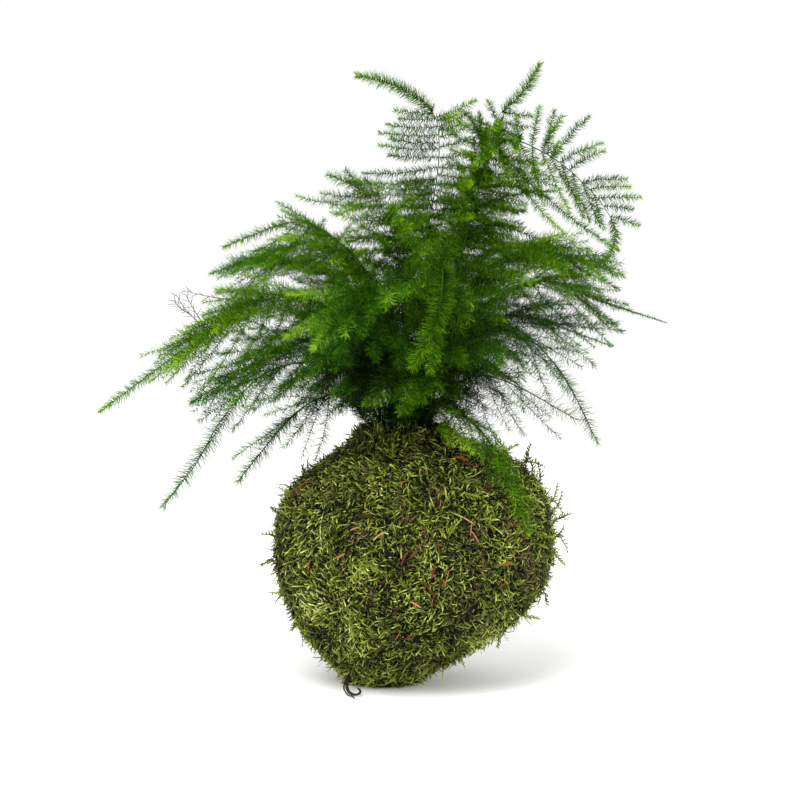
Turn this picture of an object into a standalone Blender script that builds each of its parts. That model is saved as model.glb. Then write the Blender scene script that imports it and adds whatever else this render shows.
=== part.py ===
"""Kokedama: an asparagus fern growing from a ball of soil that is wrapped in living moss.

The origin is the middle of the small flat spot that the ball rests on, with Z up and the
crown of stems at the top. Lengths in the tables are millimetres; MM turns them into metres.

Pieces: soil_ball (with a plain hole for each stem), moss_cover (a hollow shell of tufts,
open at the crown), binding_thread (two fused windings pressed into the moss), root_tip
(one stiff root that comes out low on the ball) and one node for each frond of the fern.
"""
import math
from typing import NamedTuple

import bmesh
import bpy
import numpy as np
from mathutils import Vector
from mathutils.bvhtree import BVHTree

MM = 0.001
FIT_GAP = 0.3                 # clearance between pieces that touch
GOLDEN_ANGLE = math.pi * (3 - math.sqrt(5))

# The moss ball without its tufts: height, X of the section's middle, half width.
BALL_PROFILE = (
    (0, 0, 23), (5, -1, 27), (14, 0, 34), (28, 5, 50), (45, 9, 61), (60, 10, 65), (76, 10.5, 65.5),
    (92, 11, 61.5), (104, 12, 52), (112, 11.5, 41), (119, 8, 29), (124, 4.5, 21), (128, 3.5, 19.5),
)
BALL_DEPTH_RATIO = 0.96       # depth of a section over its width
MOSS_POINTS = 360             # corners of the ball's skin; each triangle between them is a tuft
MOSS_THICKNESS = 9.5
TUFT_HEIGHT = (3.0, 6.6)
TUFT_LEAN = 0.55              # how far a tuft's tip leans, as a share of the way to a corner
NECK_TUFT_HEIGHT = 2.2
PRESSED_TUFT_HEIGHT = 0.8     # tufts under the thread

CROWN = (3.5, 0.0)            # X, Y of the middle of the crown of stems
SOIL_TOP = 121.0
CROWN_OPENING = 16.0          # radius of the moss cover's open top
SOIL_SIDES = 16

HOLE_RADIUS = 1.35
HOLE_DEPTH = 11.0
STEM_RADIUS = (0.85, 0.42)    # a frond's stem at its foot and at its tip
BARE_STEPS = 3                # straight stretches of the bare part of a stem
PLUME_STEP = 18.0             # length of the straight stretches above it
STEM_BRUSH = 20.0             # length of a stem's tip that carries needles itself
TWIG_RADIUS = (0.48, 0.34)    # a side twig at its root and near its tip
TWIG_ROOT = 0.16              # radius of the pointed root that a twig starts from in its stem
TWIG_BASE = 1.5               # length of that root
TWIG_SPACING = 20.0
SHOOT_TIP = 1.0               # bare point of every stem and twig
WHORL_SPACING = 4.8
NEEDLE_RADIUS = 0.35
NEEDLE_LEAN = 0.9             # forward part of a needle's direction; the outward part is 1
CLEARANCE = 0.4               # least space between two fronds
MOSS_CLEARANCE = 1.2          # least space between a frond and the moss

THREAD_RADIUS = 0.5
THREAD_SIDES = 3
THREAD_LIFT = 1.9             # the thread's middle above the ball's skin
THREAD_POINTS = 32
# Windings: azimuth and lean of the plane's normal in degrees, and the plane's offset from
# the middle of the ball.
WINDINGS = ((-14, -8, -39), (115, 36, 0))
BALL_MIDDLE = (10.0, 0.0, 66.0)

ROOT_RADIUS = (1.25, 0.6)
ROOT_POINTS = (
    (-19, -16, 12), (-24, -20, 9), (-28, -25, 6), (-33, -25, 2.6), (-37, -29, 1.6), (-36, -34, 1.4),
)


class Frond(NamedTuple):
    """A frond of the fern."""

    stem: tuple               # points its stem passes after it leaves the soil
    foot: tuple               # radius and azimuth of its foot in the crown
    bare: float               # share of its length that has no side twigs
    reach: float              # length of its longest side twigs
    angle: float              # angle of the lowest side twigs to the stem
    needle: float             # length of a needle
    face: tuple               # the way the flat side of its plume faces


FRONDS = {
    "frond_tall_back_left": Frond(
        stem=((4, 10, 159), (12, 20, 203), (20, 27, 243), (22, 28, 265), (19, 27, 281),
              (6, 25, 292), (-19, 22, 299)),
        foot=(3.6, 60), bare=0.45, reach=30, angle=76, needle=3.6, face=(0, -1, 0.1)),
    "frond_tall_back_middle": Frond(
        stem=((15, 26, 163), (29, 42, 212), (42, 50, 253), (51, 52, 278), (63, 52, 290),
              (73, 50, 306)),
        foot=(7.2, 80), bare=0.46, reach=28, angle=60, needle=3.6, face=(-0.2, -1, 0.2)),
    "frond_arching_right": Frond(
        stem=((19, 10, 164), (34, 18, 215), (50, 25, 264), (73, 29, 262), (98, 28, 242),
              (110, 25, 222), (104, 22, 207)),
        foot=(7.2, 42), bare=0.42, reach=31, angle=60, needle=3.8, face=(0.1, -1, 0.3)),
    "frond_right_shoulder": Frond(
        stem=((19, -14, 161), (34, -28, 195), (57, -38, 213), (83, -44, 211), (107, -48, 203)),
        foot=(7.2, 324), bare=0.34, reach=36, angle=48, needle=4.8, face=(0, -0.35, 1)),
    "frond_right_long": Frond(
        stem=((23, 2, 157), (43, 6, 186), (72, 10, 198), (101, 13, 188), (135, 16, 177)),
        foot=(7.2, 5), bare=0.34, reach=36, angle=40, needle=4.8, face=(0, -0.45, 1)),
    "frond_right_middle": Frond(
        stem=((22, -10, 151), (39, -22, 176), (61, -30, 183), (81, -36, 177), (103, -40, 169)),
        foot=(11.2, 339), bare=0.32, reach=36, angle=44, needle=5.0, face=(0, -0.6, 1)),
    "frond_right_dark": Frond(
        stem=((20, -24, 157), (35, -44, 179), (55, -56, 179), (77, -64, 159), (94, -68, 126)),
        foot=(11.2, 298), bare=0.34, reach=38, angle=46, needle=5.6, face=(0.3, -0.8, 0.6)),
    "frond_right_low": Frond(
        stem=((24, -3, 143), (41, -14, 153), (60, -22, 148), (87, -28, 133)),
        foot=(11.2, 0), bare=0.3, reach=32, angle=44, needle=5.2, face=(0, -0.8, 0.6)),
    "frond_over_ball": Frond(
        stem=((20, -20, 140), (35, -40, 135), (49, -54, 123), (60, -62, 104), (68, -63, 82)),
        foot=(11.2, 319), bare=0.25, reach=15, angle=38, needle=5.0, face=(0.6, -0.6, 0.5)),
    "frond_front_droop": Frond(
        stem=((13, -34, 167), (21, -62, 204), (21, -84, 200), (16, -98, 180), (8, -102, 164)),
        foot=(7.2, 284), bare=0.36, reach=32, angle=50, needle=5.2, face=(0, -0.8, 0.6)),
    "frond_front_short": Frond(
        stem=((10, -28, 145), (8, -48, 155), (-1, -60, 153), (-11, -66, 144)),
        foot=(11.2, 270), bare=0.3, reach=17, angle=50, needle=5.6, face=(0, -0.7, 0.7)),
    "frond_front_left": Frond(
        stem=((0, -30, 169), (-5, -58, 199), (-18, -82, 197), (-35, -96, 173)),
        foot=(7.2, 245), bare=0.34, reach=36, angle=48, needle=5.2, face=(-0.3, -0.7, 0.7)),
    "frond_left_long": Frond(
        stem=((-11, -6, 159), (-31, -16, 186), (-60, -26, 191), (-88, -34, 176), (-140, -40, 138)),
        foot=(7.2, 200), bare=0.3, reach=42, angle=36, needle=4.8, face=(0, -0.6, 1)),
    "frond_left_low_far": Frond(
        stem=((-10, -28, 150), (-34, -50, 162), (-60, -62, 158), (-80, -70, 137), (-91, -73, 118),
              (-107, -74, 97)),
        foot=(11.2, 237), bare=0.3, reach=36, angle=42, needle=5.2, face=(-0.2, -0.7, 0.7)),
    "frond_left_low_near": Frond(
        stem=((-14, -10, 143), (-29, -22, 145), (-49, -30, 135), (-75, -36, 104)),
        foot=(11.2, 207), bare=0.3, reach=32, angle=42, needle=5.2, face=(0, -0.8, 0.6)),
    "frond_left_middle": Frond(
        stem=((-11, 6, 153), (-27, 12, 170), (-52, 18, 165), (-102, 22, 137)),
        foot=(11.2, 160), bare=0.3, reach=36, angle=40, needle=5.0, face=(0, -0.5, 0.9)),
    "frond_left_upper": Frond(
        stem=((-8, 18, 163), (-20, 34, 198), (-39, 44, 216), (-65, 50, 210), (-94, 54, 200)),
        foot=(7.2, 125), bare=0.34, reach=36, angle=45, needle=4.6, face=(0, -0.3, 1)),
    "frond_left_top": Frond(
        stem=((-4, 2, 167), (-13, 4, 201), (-32, 2, 221), (-51, -2, 227), (-83, -8, 215)),
        foot=(3.6, 165), bare=0.38, reach=34, angle=46, needle=4.4, face=(0, -0.5, 1)),
    "frond_top_left_middle": Frond(
        stem=((4, -8, 170), (2, -18, 207), (-5, -24, 232), (-18, -26, 244), (-32, -26, 250)),
        foot=(3.6, 270), bare=0.38, reach=34, angle=56, needle=4.2, face=(-0.3, -0.8, 0.5)),
    "frond_back_right": Frond(
        stem=((12.5, 19, 143), (17, 38, 165), (39, 70, 204), (71, 92, 214), (101, 108, 189)),
        foot=(11.2, 58), bare=0.34, reach=38, angle=48, needle=4.8, face=(0, 0.2, 1)),
    "frond_back_left": Frond(
        stem=((-2, 20, 143), (-8, 40, 165), (-34, 72, 201), (-66, 96, 203), (-90, 112, 174)),
        foot=(11.2, 122), bare=0.34, reach=38, angle=48, needle=4.8, face=(0, 0.2, 1)),
    "frond_back_middle": Frond(
        stem=((4, 20, 143), (6, 44, 168), (12, 80, 211), (16, 104, 229), (18, 126, 199)),
        foot=(11.2, 92), bare=0.34, reach=36, angle=50, needle=4.8, face=(0, 0.4, 1)),
}
YOUNG_FRONDS = (
    "frond_tall_back_left", "frond_tall_back_middle", "frond_arching_right", "frond_front_droop",
    "frond_left_top", "frond_top_left_middle", "frond_left_long",
)
# Reach of the side twigs along the plume, as a share of the longest.
PLUME_OUTLINE = ((0, 0.45), (0.12, 0.8), (0.3, 1.0), (0.6, 0.75), (0.85, 0.42), (1, 0.2))

# Colour (linear RGB) and roughness of each material.
MATERIALS = {
    "young_foliage": ((0.09, 0.26, 0.01), 0.5),
    "mature_foliage": ((0.03, 0.12, 0.006), 0.55),
    "moss": ((0.16, 0.2, 0.035), 0.95),
    "soil": ((0.03, 0.018, 0.01), 1.0),
    "nylon_thread": ((0.7, 0.72, 0.6), 0.25),
    "root": ((0.025, 0.015, 0.01), 0.8),
}


# ---------------------------------------------------------------- curves and small helpers

def smooth_curve(points, per_span=10):
    """Points of the Catmull-Rom curve through the given points."""
    known = np.array(points, float)
    known = np.vstack([2 * known[0] - known[1], known, 2 * known[-1] - known[-2]])
    share = np.linspace(0, 1, per_span, endpoint=False)[:, None]
    spans = []
    for before, start, end, after in zip(known, known[1:], known[2:], known[3:]):
        spans.append(0.5 * (2 * start + (end - before) * share
                            + (2 * before - 5 * start + 4 * end - after) * share ** 2
                            + (3 * start - before - 3 * end + after) * share ** 3))
    return np.vstack(spans + [known[-2][None]])


class Path:
    """A curve that can be read at any distance along it."""

    def __init__(self, points):
        self.points = np.array(points, float)
        steps = np.linalg.norm(np.diff(self.points, axis=0), axis=1)
        self.distance = np.concatenate([[0], np.cumsum(steps)])
        self.length = self.distance[-1]

    def at(self, distance):
        return np.array([np.interp(distance, self.distance, self.points[:, axis]) for axis in range(3)])

    def direction(self, distance):
        ahead = self.at(min(distance + 1, self.length))
        return unit(ahead - self.at(max(distance - 1, 0)))


def unit(vector):
    return vector / np.linalg.norm(vector)


def across(direction, preferred):
    """The preferred direction, made square to a direction and one long."""
    return unit(preferred - direction * (preferred @ direction))


def make_material(name):
    colour, roughness = MATERIALS[name]
    material = bpy.data.materials.new(name)
    material.use_nodes = True
    shader = material.node_tree.nodes["Principled BSDF"]
    shader.inputs["Base Color"].default_value = (*colour, 1)
    shader.inputs["Roughness"].default_value = roughness
    material.diffuse_color = (*colour, 1)
    return material


def make_object(name, corners, faces, material=None):
    """A mesh object from corners in millimetres."""
    mesh = bpy.data.meshes.new(name)
    mesh.from_pydata([tuple(corner) for corner in np.array(corners) * MM], [], faces)
    made = bpy.data.objects.new(name, mesh)
    bpy.context.scene.collection.objects.link(made)
    if material:
        mesh.materials.append(material)
    return made


def bake_modifiers(target):
    """Replace an object's mesh by what its modifiers make of it."""
    bpy.context.view_layer.update()
    result = bpy.data.meshes.new_from_object(target.evaluated_get(bpy.context.evaluated_depsgraph_get()))
    target.modifiers.clear()
    target.data = result


def combine(target, tools, operation, solver="EXACT"):
    """Join the tools to the target or cut them from it in one Boolean, and remove them."""
    group = bpy.data.collections.new("tools")
    bpy.context.scene.collection.children.link(group)
    for tool in tools:
        bpy.context.scene.collection.objects.unlink(tool)
        group.objects.link(tool)
    boolean = target.modifiers.new("combine", "BOOLEAN")
    boolean.operation = operation
    boolean.solver = solver
    boolean.operand_type = "COLLECTION"
    boolean.collection = group
    bake_modifiers(target)
    for tool in tools:
        bpy.data.objects.remove(tool)
    bpy.data.collections.remove(group)


def stacked_rings(rings, foot=None, tip=None):
    """Corners and faces of a closed body through equal rings, capped flat or by a point."""
    sides = len(rings[0])
    corners = [corner for ring in rings for corner in ring]
    faces = []
    for level in range(len(rings) - 1):
        for side in range(sides):
            here = level * sides + side
            beside = level * sides + (side + 1) % sides
            faces.append((here, beside, beside + sides, here + sides))
    last = (len(rings) - 1) * sides
    if foot is None:
        faces.append(tuple(reversed(range(sides))))
    if tip is None:
        faces.append(tuple(range(last, last + sides)))
    else:
        corners.append(tip)
        faces.extend((last + side, last + (side + 1) % sides, len(corners) - 1) for side in range(sides))
    return corners, faces


def ring_round(middle, direction, start, radius, sides, turn=0.0):
    """Corners of one ring round a direction, the first of them towards start."""
    side_way = np.cross(direction, start)
    angles = turn + 2 * math.pi * np.arange(sides) / sides
    return [middle + radius * (math.cos(angle) * start + math.sin(angle) * side_way) for angle in angles]


def tube(path, radii, sides):
    """A closed tapering tube through a path's points; its rings keep one sense of up."""
    rings = []
    start = across(path.direction(0), np.array([0.31, 0.91, 0.27]))
    for distance in path.distance:
        direction = path.direction(distance)
        start = across(direction, start)
        radius = np.interp(distance, (0, path.length), radii)
        rings.append(ring_round(path.at(distance), direction, start, radius, sides))
    return stacked_rings(rings)


# ---------------------------------------------------------------- ball of soil and moss

def ball_skin(per_span=6):
    """The ball's profile from the top down: height, X of the middle and half width."""
    return smooth_curve(BALL_PROFILE[::-1], per_span)


def ball_point(section, angle):
    height, middle, half_width = section
    return np.array([middle + half_width * math.cos(angle),
                     BALL_DEPTH_RATIO * half_width * math.sin(angle), height])


def moss_skin():
    """Corners spread evenly over the ball's skin, and the triangles between them."""
    skin = ball_skin()
    top, bottom = skin[0].copy(), skin[-1].copy()
    top[2] = bottom[2] = 0
    outline = np.vstack([top, skin, bottom])
    slant = np.hypot(np.diff(outline[:, 0]), np.diff(outline[:, 2]))
    area = np.concatenate([[0], np.cumsum(slant * (outline[1:, 2] + outline[:-1, 2]) / 2)])
    round_mesh = bmesh.new()
    corners = []
    for index in range(MOSS_POINTS):
        share = (index + 0.5) / MOSS_POINTS
        angle = index * GOLDEN_ANGLE
        height = 1 - 2 * share
        reach = math.sqrt(1 - height * height)
        round_mesh.verts.new((reach * math.cos(angle), reach * math.sin(angle), height))
        section = [np.interp(share * area[-1], area, outline[:, column]) for column in range(3)]
        corners.append(ball_point(section, angle))
    bmesh.ops.convex_hull(round_mesh, input=round_mesh.verts)
    round_mesh.verts.index_update()
    triangles = [tuple(corner.index for corner in face.verts) for face in round_mesh.faces]
    round_mesh.free()
    return np.array(corners), triangles


def winding_points():
    """The route of each winding: where its plane cuts the ball's skin, lifted off it."""
    skin = ball_skin()
    middle = np.array(BALL_MIDDLE)
    routes = []
    for azimuth, lean, offset in WINDINGS:
        azimuth, lean = math.radians(azimuth), math.radians(lean)
        normal = np.array([math.cos(lean) * math.cos(azimuth), math.cos(lean) * math.sin(azimuth),
                           math.sin(lean)])
        first = across(normal, np.array([0.0, 0.0, 1.0]))
        second = np.cross(normal, first)
        centre = middle + offset * normal
        route = []
        for angle in np.linspace(0, 2 * math.pi, THREAD_POINTS, endpoint=False):
            way = math.cos(angle) * first + math.sin(angle) * second
            near, far = 0.0, 90.0
            for _ in range(24):
                reach = (near + far) / 2
                if inside_ball(centre + reach * way, skin):
                    near = reach
                else:
                    far = reach
            surface = centre + near * way
            route.append(surface + THREAD_LIFT * unit(surface - middle))
        routes.append(np.array(route))
    return routes


def inside_ball(point, skin):
    heights = skin[::-1, 0]
    if not heights[0] < point[2] < heights[-1]:
        return False
    middle, half_width = (np.interp(point[2], heights, skin[::-1, column]) for column in (1, 2))
    return math.hypot(point[0] - middle, point[1] / BALL_DEPTH_RATIO) < half_width


def make_moss(material, routes, soil_cutter, root_cutter):
    """The moss cover: each triangle of the ball's skin is drawn out to a leaning tuft."""
    rng = np.random.default_rng(11)
    corners, triangles = moss_skin()
    thread_starts = np.vstack(routes)
    thread_ends = np.vstack([np.roll(route, -1, axis=0) for route in routes])
    tips = []
    faces = []
    for triangle in triangles:
        a, b, c = (corners[index] for index in triangle)
        normal = unit(np.cross(b - a, c - a))
        middle = (a + b + c) / 3
        leaned = rng.integers(3)
        height = rng.uniform(*TUFT_HEIGHT)
        on_foot = max(a[2], b[2], c[2]) < 4
        edges = rod_distance(np.array([a, b, c]), np.array([b, c, a]), thread_starts, thread_ends)
        if on_foot:
            faces.append(triangle)
            continue
        if middle[2] > SOIL_TOP - 4:
            height = NECK_TUFT_HEIGHT
        if edges.min() < THREAD_LIFT + 2 * FIT_GAP:
            height = PRESSED_TUFT_HEIGHT
        tip = middle + height * normal + TUFT_LEAN * rng.random() * (corners[triangle[leaned]] - middle)
        tip[2] = max(tip[2], 1.0)
        index = len(corners) + len(tips)
        tips.append(tip)
        faces.extend((triangle[side], triangle[(side + 1) % 3], index) for side in range(3))
    cover = make_object("moss_cover", np.vstack([corners, tips]), faces, material)
    combine(cover, [soil_cutter, root_cutter], "DIFFERENCE")
    return cover


def soil_rings(growth=0.0, top=SOIL_TOP):
    """Rings of the soil ball, larger all round by growth, up to the given height."""
    rings = []
    for section in smooth_curve(BALL_PROFILE, 2)[::2]:
        height, middle, half_width = section
        if not 14 <= height <= SOIL_TOP - 8:
            continue
        half_width = half_width - MOSS_THICKNESS + growth
        rings.append([ball_point((height, middle, half_width), angle)
                      for angle in 2 * math.pi * np.arange(SOIL_SIDES) / SOIL_SIDES])
    neck = CROWN_OPENING - FIT_GAP + growth
    for height in (SOIL_TOP - 3, top):
        rings.append([ball_point((height, CROWN[0], neck), angle)
                      for angle in 2 * math.pi * np.arange(SOIL_SIDES) / SOIL_SIDES])
    rings[0] = [corner - np.array([0, 0, growth]) for corner in rings[0]]
    return rings


def make_soil(material, feet):
    soil = make_object("soil_ball", *stacked_rings(soil_rings()), material)
    holes = []
    for number, (x, y) in enumerate(feet):
        middle = np.array([x, y, 0])
        up = np.array([0, 0, 1.0])
        rings = [ring_round(middle + height * up, up, np.array([1.0, 0, 0]), HOLE_RADIUS, 6)
                 for height in (SOIL_TOP - HOLE_DEPTH, SOIL_TOP + 5)]
        holes.append(make_object(f"hole_{number}", *stacked_rings(rings)))
    combine(soil, holes, "DIFFERENCE")
    return soil


def make_thread(material, routes):
    windings = []
    for number, route in enumerate(routes):
        rings = []
        for index, point in enumerate(route):
            direction = unit(route[(index + 1) % len(route)] - route[index - 1])
            outward = across(direction, point - np.array(BALL_MIDDLE))
            rings.append(ring_round(point, direction, outward, THREAD_RADIUS, THREAD_SIDES))
        corners = [corner for ring in rings for corner in ring]
        count = len(corners)
        faces = []
        for level in range(len(rings)):
            for side in range(THREAD_SIDES):
                here = level * THREAD_SIDES + side
                beside = level * THREAD_SIDES + (side + 1) % THREAD_SIDES
                ahead = ((beside + THREAD_SIDES) % count, (here + THREAD_SIDES) % count)
                faces.append((here, beside, *ahead))
        windings.append(make_object(f"winding_{number}", corners, faces, material))
    thread = windings[0]
    thread.name = "binding_thread"
    combine(thread, windings[1:], "UNION")
    return thread


def make_root(material):
    path = Path(smooth_curve(ROOT_POINTS, 2)[1:])
    return make_object("root_tip", *tube(path, ROOT_RADIUS, 5), material)


def make_root_cutter():
    """The hole in the moss that the root comes out of: its start, wider by the gap."""
    path = Path(smooth_curve(ROOT_POINTS, 2)[:7])
    radius = ROOT_RADIUS[0] + FIT_GAP
    return make_object("root_hole", *tube(path, (radius, radius), 5))


# ---------------------------------------------------------------- fern

def frond_path(name):
    """The stem's route from the bottom of its hole, straight up out of the soil, then on."""
    frond = FRONDS[name]
    radius, azimuth = frond.foot
    x = CROWN[0] + radius * math.cos(math.radians(azimuth))
    y = CROWN[1] + radius * math.sin(math.radians(azimuth))
    feet = ((x, y, SOIL_TOP - HOLE_DEPTH + FIT_GAP), (x, y, SOIL_TOP + 2))
    curve = Path(smooth_curve(feet + frond.stem))
    bare = frond.bare * curve.length
    steps = round((curve.length - bare) / PLUME_STEP)
    stops = np.concatenate([[0], np.linspace(HOLE_DEPTH + 1.5, bare, BARE_STEPS, endpoint=False),
                            np.linspace(bare, curve.length, steps + 1)])
    return Path([curve.at(stop) for stop in stops])


def twig_route(start, direction, droop, length):
    share = np.linspace(0, 1, 9)[:, None]
    return Path(start + length * (share * direction + 0.5 * share ** 2 * droop))


def twig_plan(name, stem, rng):
    """Where each side twig of a frond starts, its direction, its droop and its length."""
    frond = FRONDS[name]
    face = np.array(frond.face, float)
    start = frond.bare * stem.length
    distance = start
    side = 1
    plan = []
    while distance < stem.length - STEM_BRUSH + TWIG_BASE:
        share = (distance - start) / (stem.length - start)
        along = stem.direction(distance)
        flat = across(along, face)
        sideways = side * np.cross(along, flat)
        length = frond.reach * np.interp(share, *zip(*PLUME_OUTLINE)) * rng.uniform(0.9, 1.15)
        spread = math.radians(frond.angle * (1 - 0.25 * share) + rng.uniform(-5, 5))
        lifted = rng.uniform(0, 0.2) * flat
        direction = unit(math.cos(spread) * along + math.sin(spread) * sideways + lifted)
        droop = 0.25 * along + np.array([0, 0, -0.28])
        plan.append((distance, direction, droop, length))
        distance += TWIG_SPACING * rng.uniform(0.85, 1.1)
        side = -side
    return plan


def shoot_core(route, bare_stops, radii, needle, rng):
    """The rings of a shoot's three-sided core and its whorls of three needles, foot and tip.
    Radii are pairs of distance and radius. The core is bare up to the last of bare_stops.
    From there each ring is turned by a sixth against the last, and a whorl grows from each
    stretch between two rings."""
    bare = bare_stops[-1]
    count = max(2, round((route.length - bare) / WHORL_SPACING))
    whorl_stops = np.linspace(bare, route.length - SHOOT_TIP, count + 1)[1:]
    first = rng.uniform(0, 2)
    turns = first + math.pi / 3 * np.concatenate([np.zeros(len(bare_stops)), np.arange(count) + 1])
    start = across(route.direction(0), np.array([0.2, 0.3, 0.93]))
    rings = []
    whorls = []
    for stop, turn in zip(np.concatenate([bare_stops, whorl_stops]), turns):
        direction = route.direction(stop)
        start = across(direction, start)
        radius = np.interp(stop, *zip(*radii))
        rings.append(ring_round(route.at(stop), direction, start, radius, 3, turn))
        if stop <= bare:
            continue
        whorl = []
        for side in range(3):
            foot = (rings[-1][side] + rings[-1][(side + 1) % 3]) / 2
            outward = across(direction, foot - route.at(stop))
            length = needle * rng.uniform(0.85, 1.1)
            whorl.append((foot, foot + length * unit(outward + NEEDLE_LEAN * direction)))
        whorls.append(whorl)
    return rings, whorls


def shoot_mesh(rings, whorls, kept, tip):
    """A shoot's closed mesh: its core, with needles drawn out of the faces near their feet.
    kept says for each needle whether there is room for it."""
    corners = [corner for ring in rings for corner in ring] + [tip]
    last = 3 * (len(rings) - 1)
    faces = [(2, 1, 0)]
    faces.extend((last + side, last + (side + 1) % 3, last + 3) for side in range(3))
    bare_levels = len(rings) - 1 - len(whorls)
    for level in range(len(rings) - 1):
        for side in range(3):
            here, beside = 3 * level + side, 3 * level + (side + 1) % 3
            grown = (beside, beside + 3, here + 3)
            faces.append((here, beside, here + 3))
            if level < bare_levels or not kept[level - bare_levels][side]:
                faces.append(grown)
                continue
            corners.append(whorls[level - bare_levels][side][1])
            faces.extend((grown[edge], grown[(edge + 1) % 3], len(corners) - 1) for edge in range(3))
    return corners, faces


# ---------------------------------------------------------------- room between fronds

def rod_distance(starts, ends, other_starts, other_ends):
    """Least distance between each rod of one set and each of another."""
    along = (ends - starts)[:, None]
    other_along = (other_ends - other_starts)[None]
    apart = starts[:, None] - other_starts[None]
    a = (along ** 2).sum(-1)
    e = (other_along ** 2).sum(-1)
    b = (along * other_along).sum(-1)
    c = (along * apart).sum(-1)
    f = (other_along * apart).sum(-1)
    bottom = a * e - b * b
    s = np.clip((b * f - c * e) / np.where(bottom > 1e-9, bottom, 1), 0, 1)
    t = (b * s + f) / e
    s = np.where(t < 0, np.clip(-c / a, 0, 1), np.where(t > 1, np.clip((b - c) / a, 0, 1), s))
    t = np.clip(t, 0, 1)
    return np.linalg.norm(apart + s[..., None] * along - t[..., None] * other_along, axis=-1)


class Room:
    """Every rod placed so far, with its radius and frond, and the moss they keep off."""

    def __init__(self, moss):
        self.starts = np.zeros((0, 3))
        self.ends = np.zeros((0, 3))
        self.radii = np.zeros(0)
        self.owners = np.zeros(0, int)
        mesh = moss.data
        corners = [corner.co / MM for corner in mesh.vertices]
        self.moss = BVHTree.FromPolygons(corners, [face.vertices for face in mesh.polygons])

    def add(self, starts, ends, radius, owner):
        self.starts = np.vstack([self.starts, starts])
        self.ends = np.vstack([self.ends, ends])
        self.radii = np.concatenate([self.radii, np.full(len(starts), radius)])
        self.owners = np.concatenate([self.owners, np.full(len(starts), owner)])

    def is_free(self, starts, ends, radius, owner):
        others = self.owners != owner
        if others.any():
            apart = rod_distance(starts, ends, self.starts[others], self.ends[others])
            if (apart - self.radii[others][None] - radius).min() < CLEARANCE:
                return False
        for point in np.vstack([starts, (starts + ends) / 2, ends]):
            near = self.moss.find_nearest(Vector(point), 40)
            if near[0] is not None:
                outside = (Vector(point) - near[0]).dot(near[1]) > 0
                if near[3] < MOSS_CLEARANCE + radius or not outside:
                    return False
        return True


def turned(direction, axis, degrees):
    """A direction turned about an axis."""
    angle = math.radians(degrees)
    return (direction * math.cos(angle) + np.cross(axis, direction) * math.sin(angle)
            + axis * (axis @ direction) * (1 - math.cos(angle)))


def fitted_twig(room, owner, stem, twig):
    """The twig's route, bent clear of the other fronds or shortened until it is clear."""
    distance, direction, droop, length = twig
    start = stem.at(distance)
    along = stem.direction(distance)
    for shorter in (1.0, 0.8, 0.6, 0.4):
        for bend in (0, 14, -14, 28, -28, 42, -42):
            route = twig_route(start, turned(direction, along, bend), droop, length * shorter)
            if room.is_free(route.points[:-1], route.points[1:], TWIG_RADIUS[0], owner):
                return route
    return None


def make_shoot(name, owner, route, bare_stops, radii, room, rng, material):
    """A shoot with every needle that there is room for."""
    rings, whorls = shoot_core(route, bare_stops, radii, FRONDS[name].needle, rng)
    kept = []
    for whorl in whorls:
        kept.append([room.is_free(foot[None], tip[None], NEEDLE_RADIUS, owner) for foot, tip in whorl])
        for (foot, tip), fits in zip(whorl, kept[-1]):
            if fits:
                room.add(foot[None], tip[None], NEEDLE_RADIUS, owner)
    return make_object(name, *shoot_mesh(rings, whorls, kept, route.at(route.length)), material)


def make_frond(name, owner, stem, room, material):
    """A frond: its stem with every side twig fused to it."""
    rng = np.random.default_rng(100 + owner)
    bare_stops = [stop for stop in stem.distance if stop < stem.length - STEM_BRUSH]
    stem_radii = ((0, STEM_RADIUS[0]), (stem.length, STEM_RADIUS[1]))
    frond = make_shoot(name, owner, stem, bare_stops, stem_radii, room, rng, material)
    twigs = []
    for twig in twig_plan(name, stem, rng):
        route = fitted_twig(room, owner, stem, twig)
        if route is not None:
            room.add(route.points[:-1], route.points[1:], TWIG_RADIUS[0], owner)
            twig_radii = ((0, TWIG_ROOT), (TWIG_BASE, TWIG_RADIUS[0]), (route.length, TWIG_RADIUS[1]))
            twigs.append(make_shoot(name, owner, route, [0, TWIG_BASE], twig_radii, room, rng, material))
    combine(frond, twigs, "UNION")
    frond.name = name


def make_fern(materials, moss, stems):
    room = Room(moss)
    for owner, stem in enumerate(stems.values()):
        room.add(stem.points[:-1], stem.points[1:], STEM_RADIUS[0], owner)
    for owner, (name, stem) in enumerate(stems.items()):
        kind = "young_foliage" if name in YOUNG_FRONDS else "mature_foliage"
        make_frond(name, owner, stem, room, materials[kind])


def main():
    for old in list(bpy.data.objects):
        bpy.data.objects.remove(old)
    materials = {name: make_material(name) for name in MATERIALS}
    stems = {name: frond_path(name) for name in FRONDS}
    routes = winding_points()
    cutter = make_object("soil_space", *stacked_rings(soil_rings(FIT_GAP, SOIL_TOP + 30)))
    moss = make_moss(materials["moss"], routes, cutter, make_root_cutter())
    make_soil(materials["soil"], [stem.points[0][:2] for stem in stems.values()])
    make_thread(materials["nylon_thread"], routes)
    make_root(materials["root"])
    make_fern(materials, moss, stems)


main()
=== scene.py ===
"""Kokedama: an asparagus fern that grows from a ball of soil wrapped in living moss.

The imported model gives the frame. Each frond's solid is replaced by its fine foliage, and the
moss cover by a dark mat that thousands of single moss shoots grow from. The soil ball stays as
it is and gets a soil finish. Lengths in the tables are millimetres; MM turns them into metres.
A pair of numbers is a range that each twig, needle or shoot draws its own value from, unless
its comment says otherwise. A spread is the standard deviation of what is drawn. A light says
how light a green or brown is, from 0 to 1.
"""
import math
from typing import NamedTuple

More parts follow.
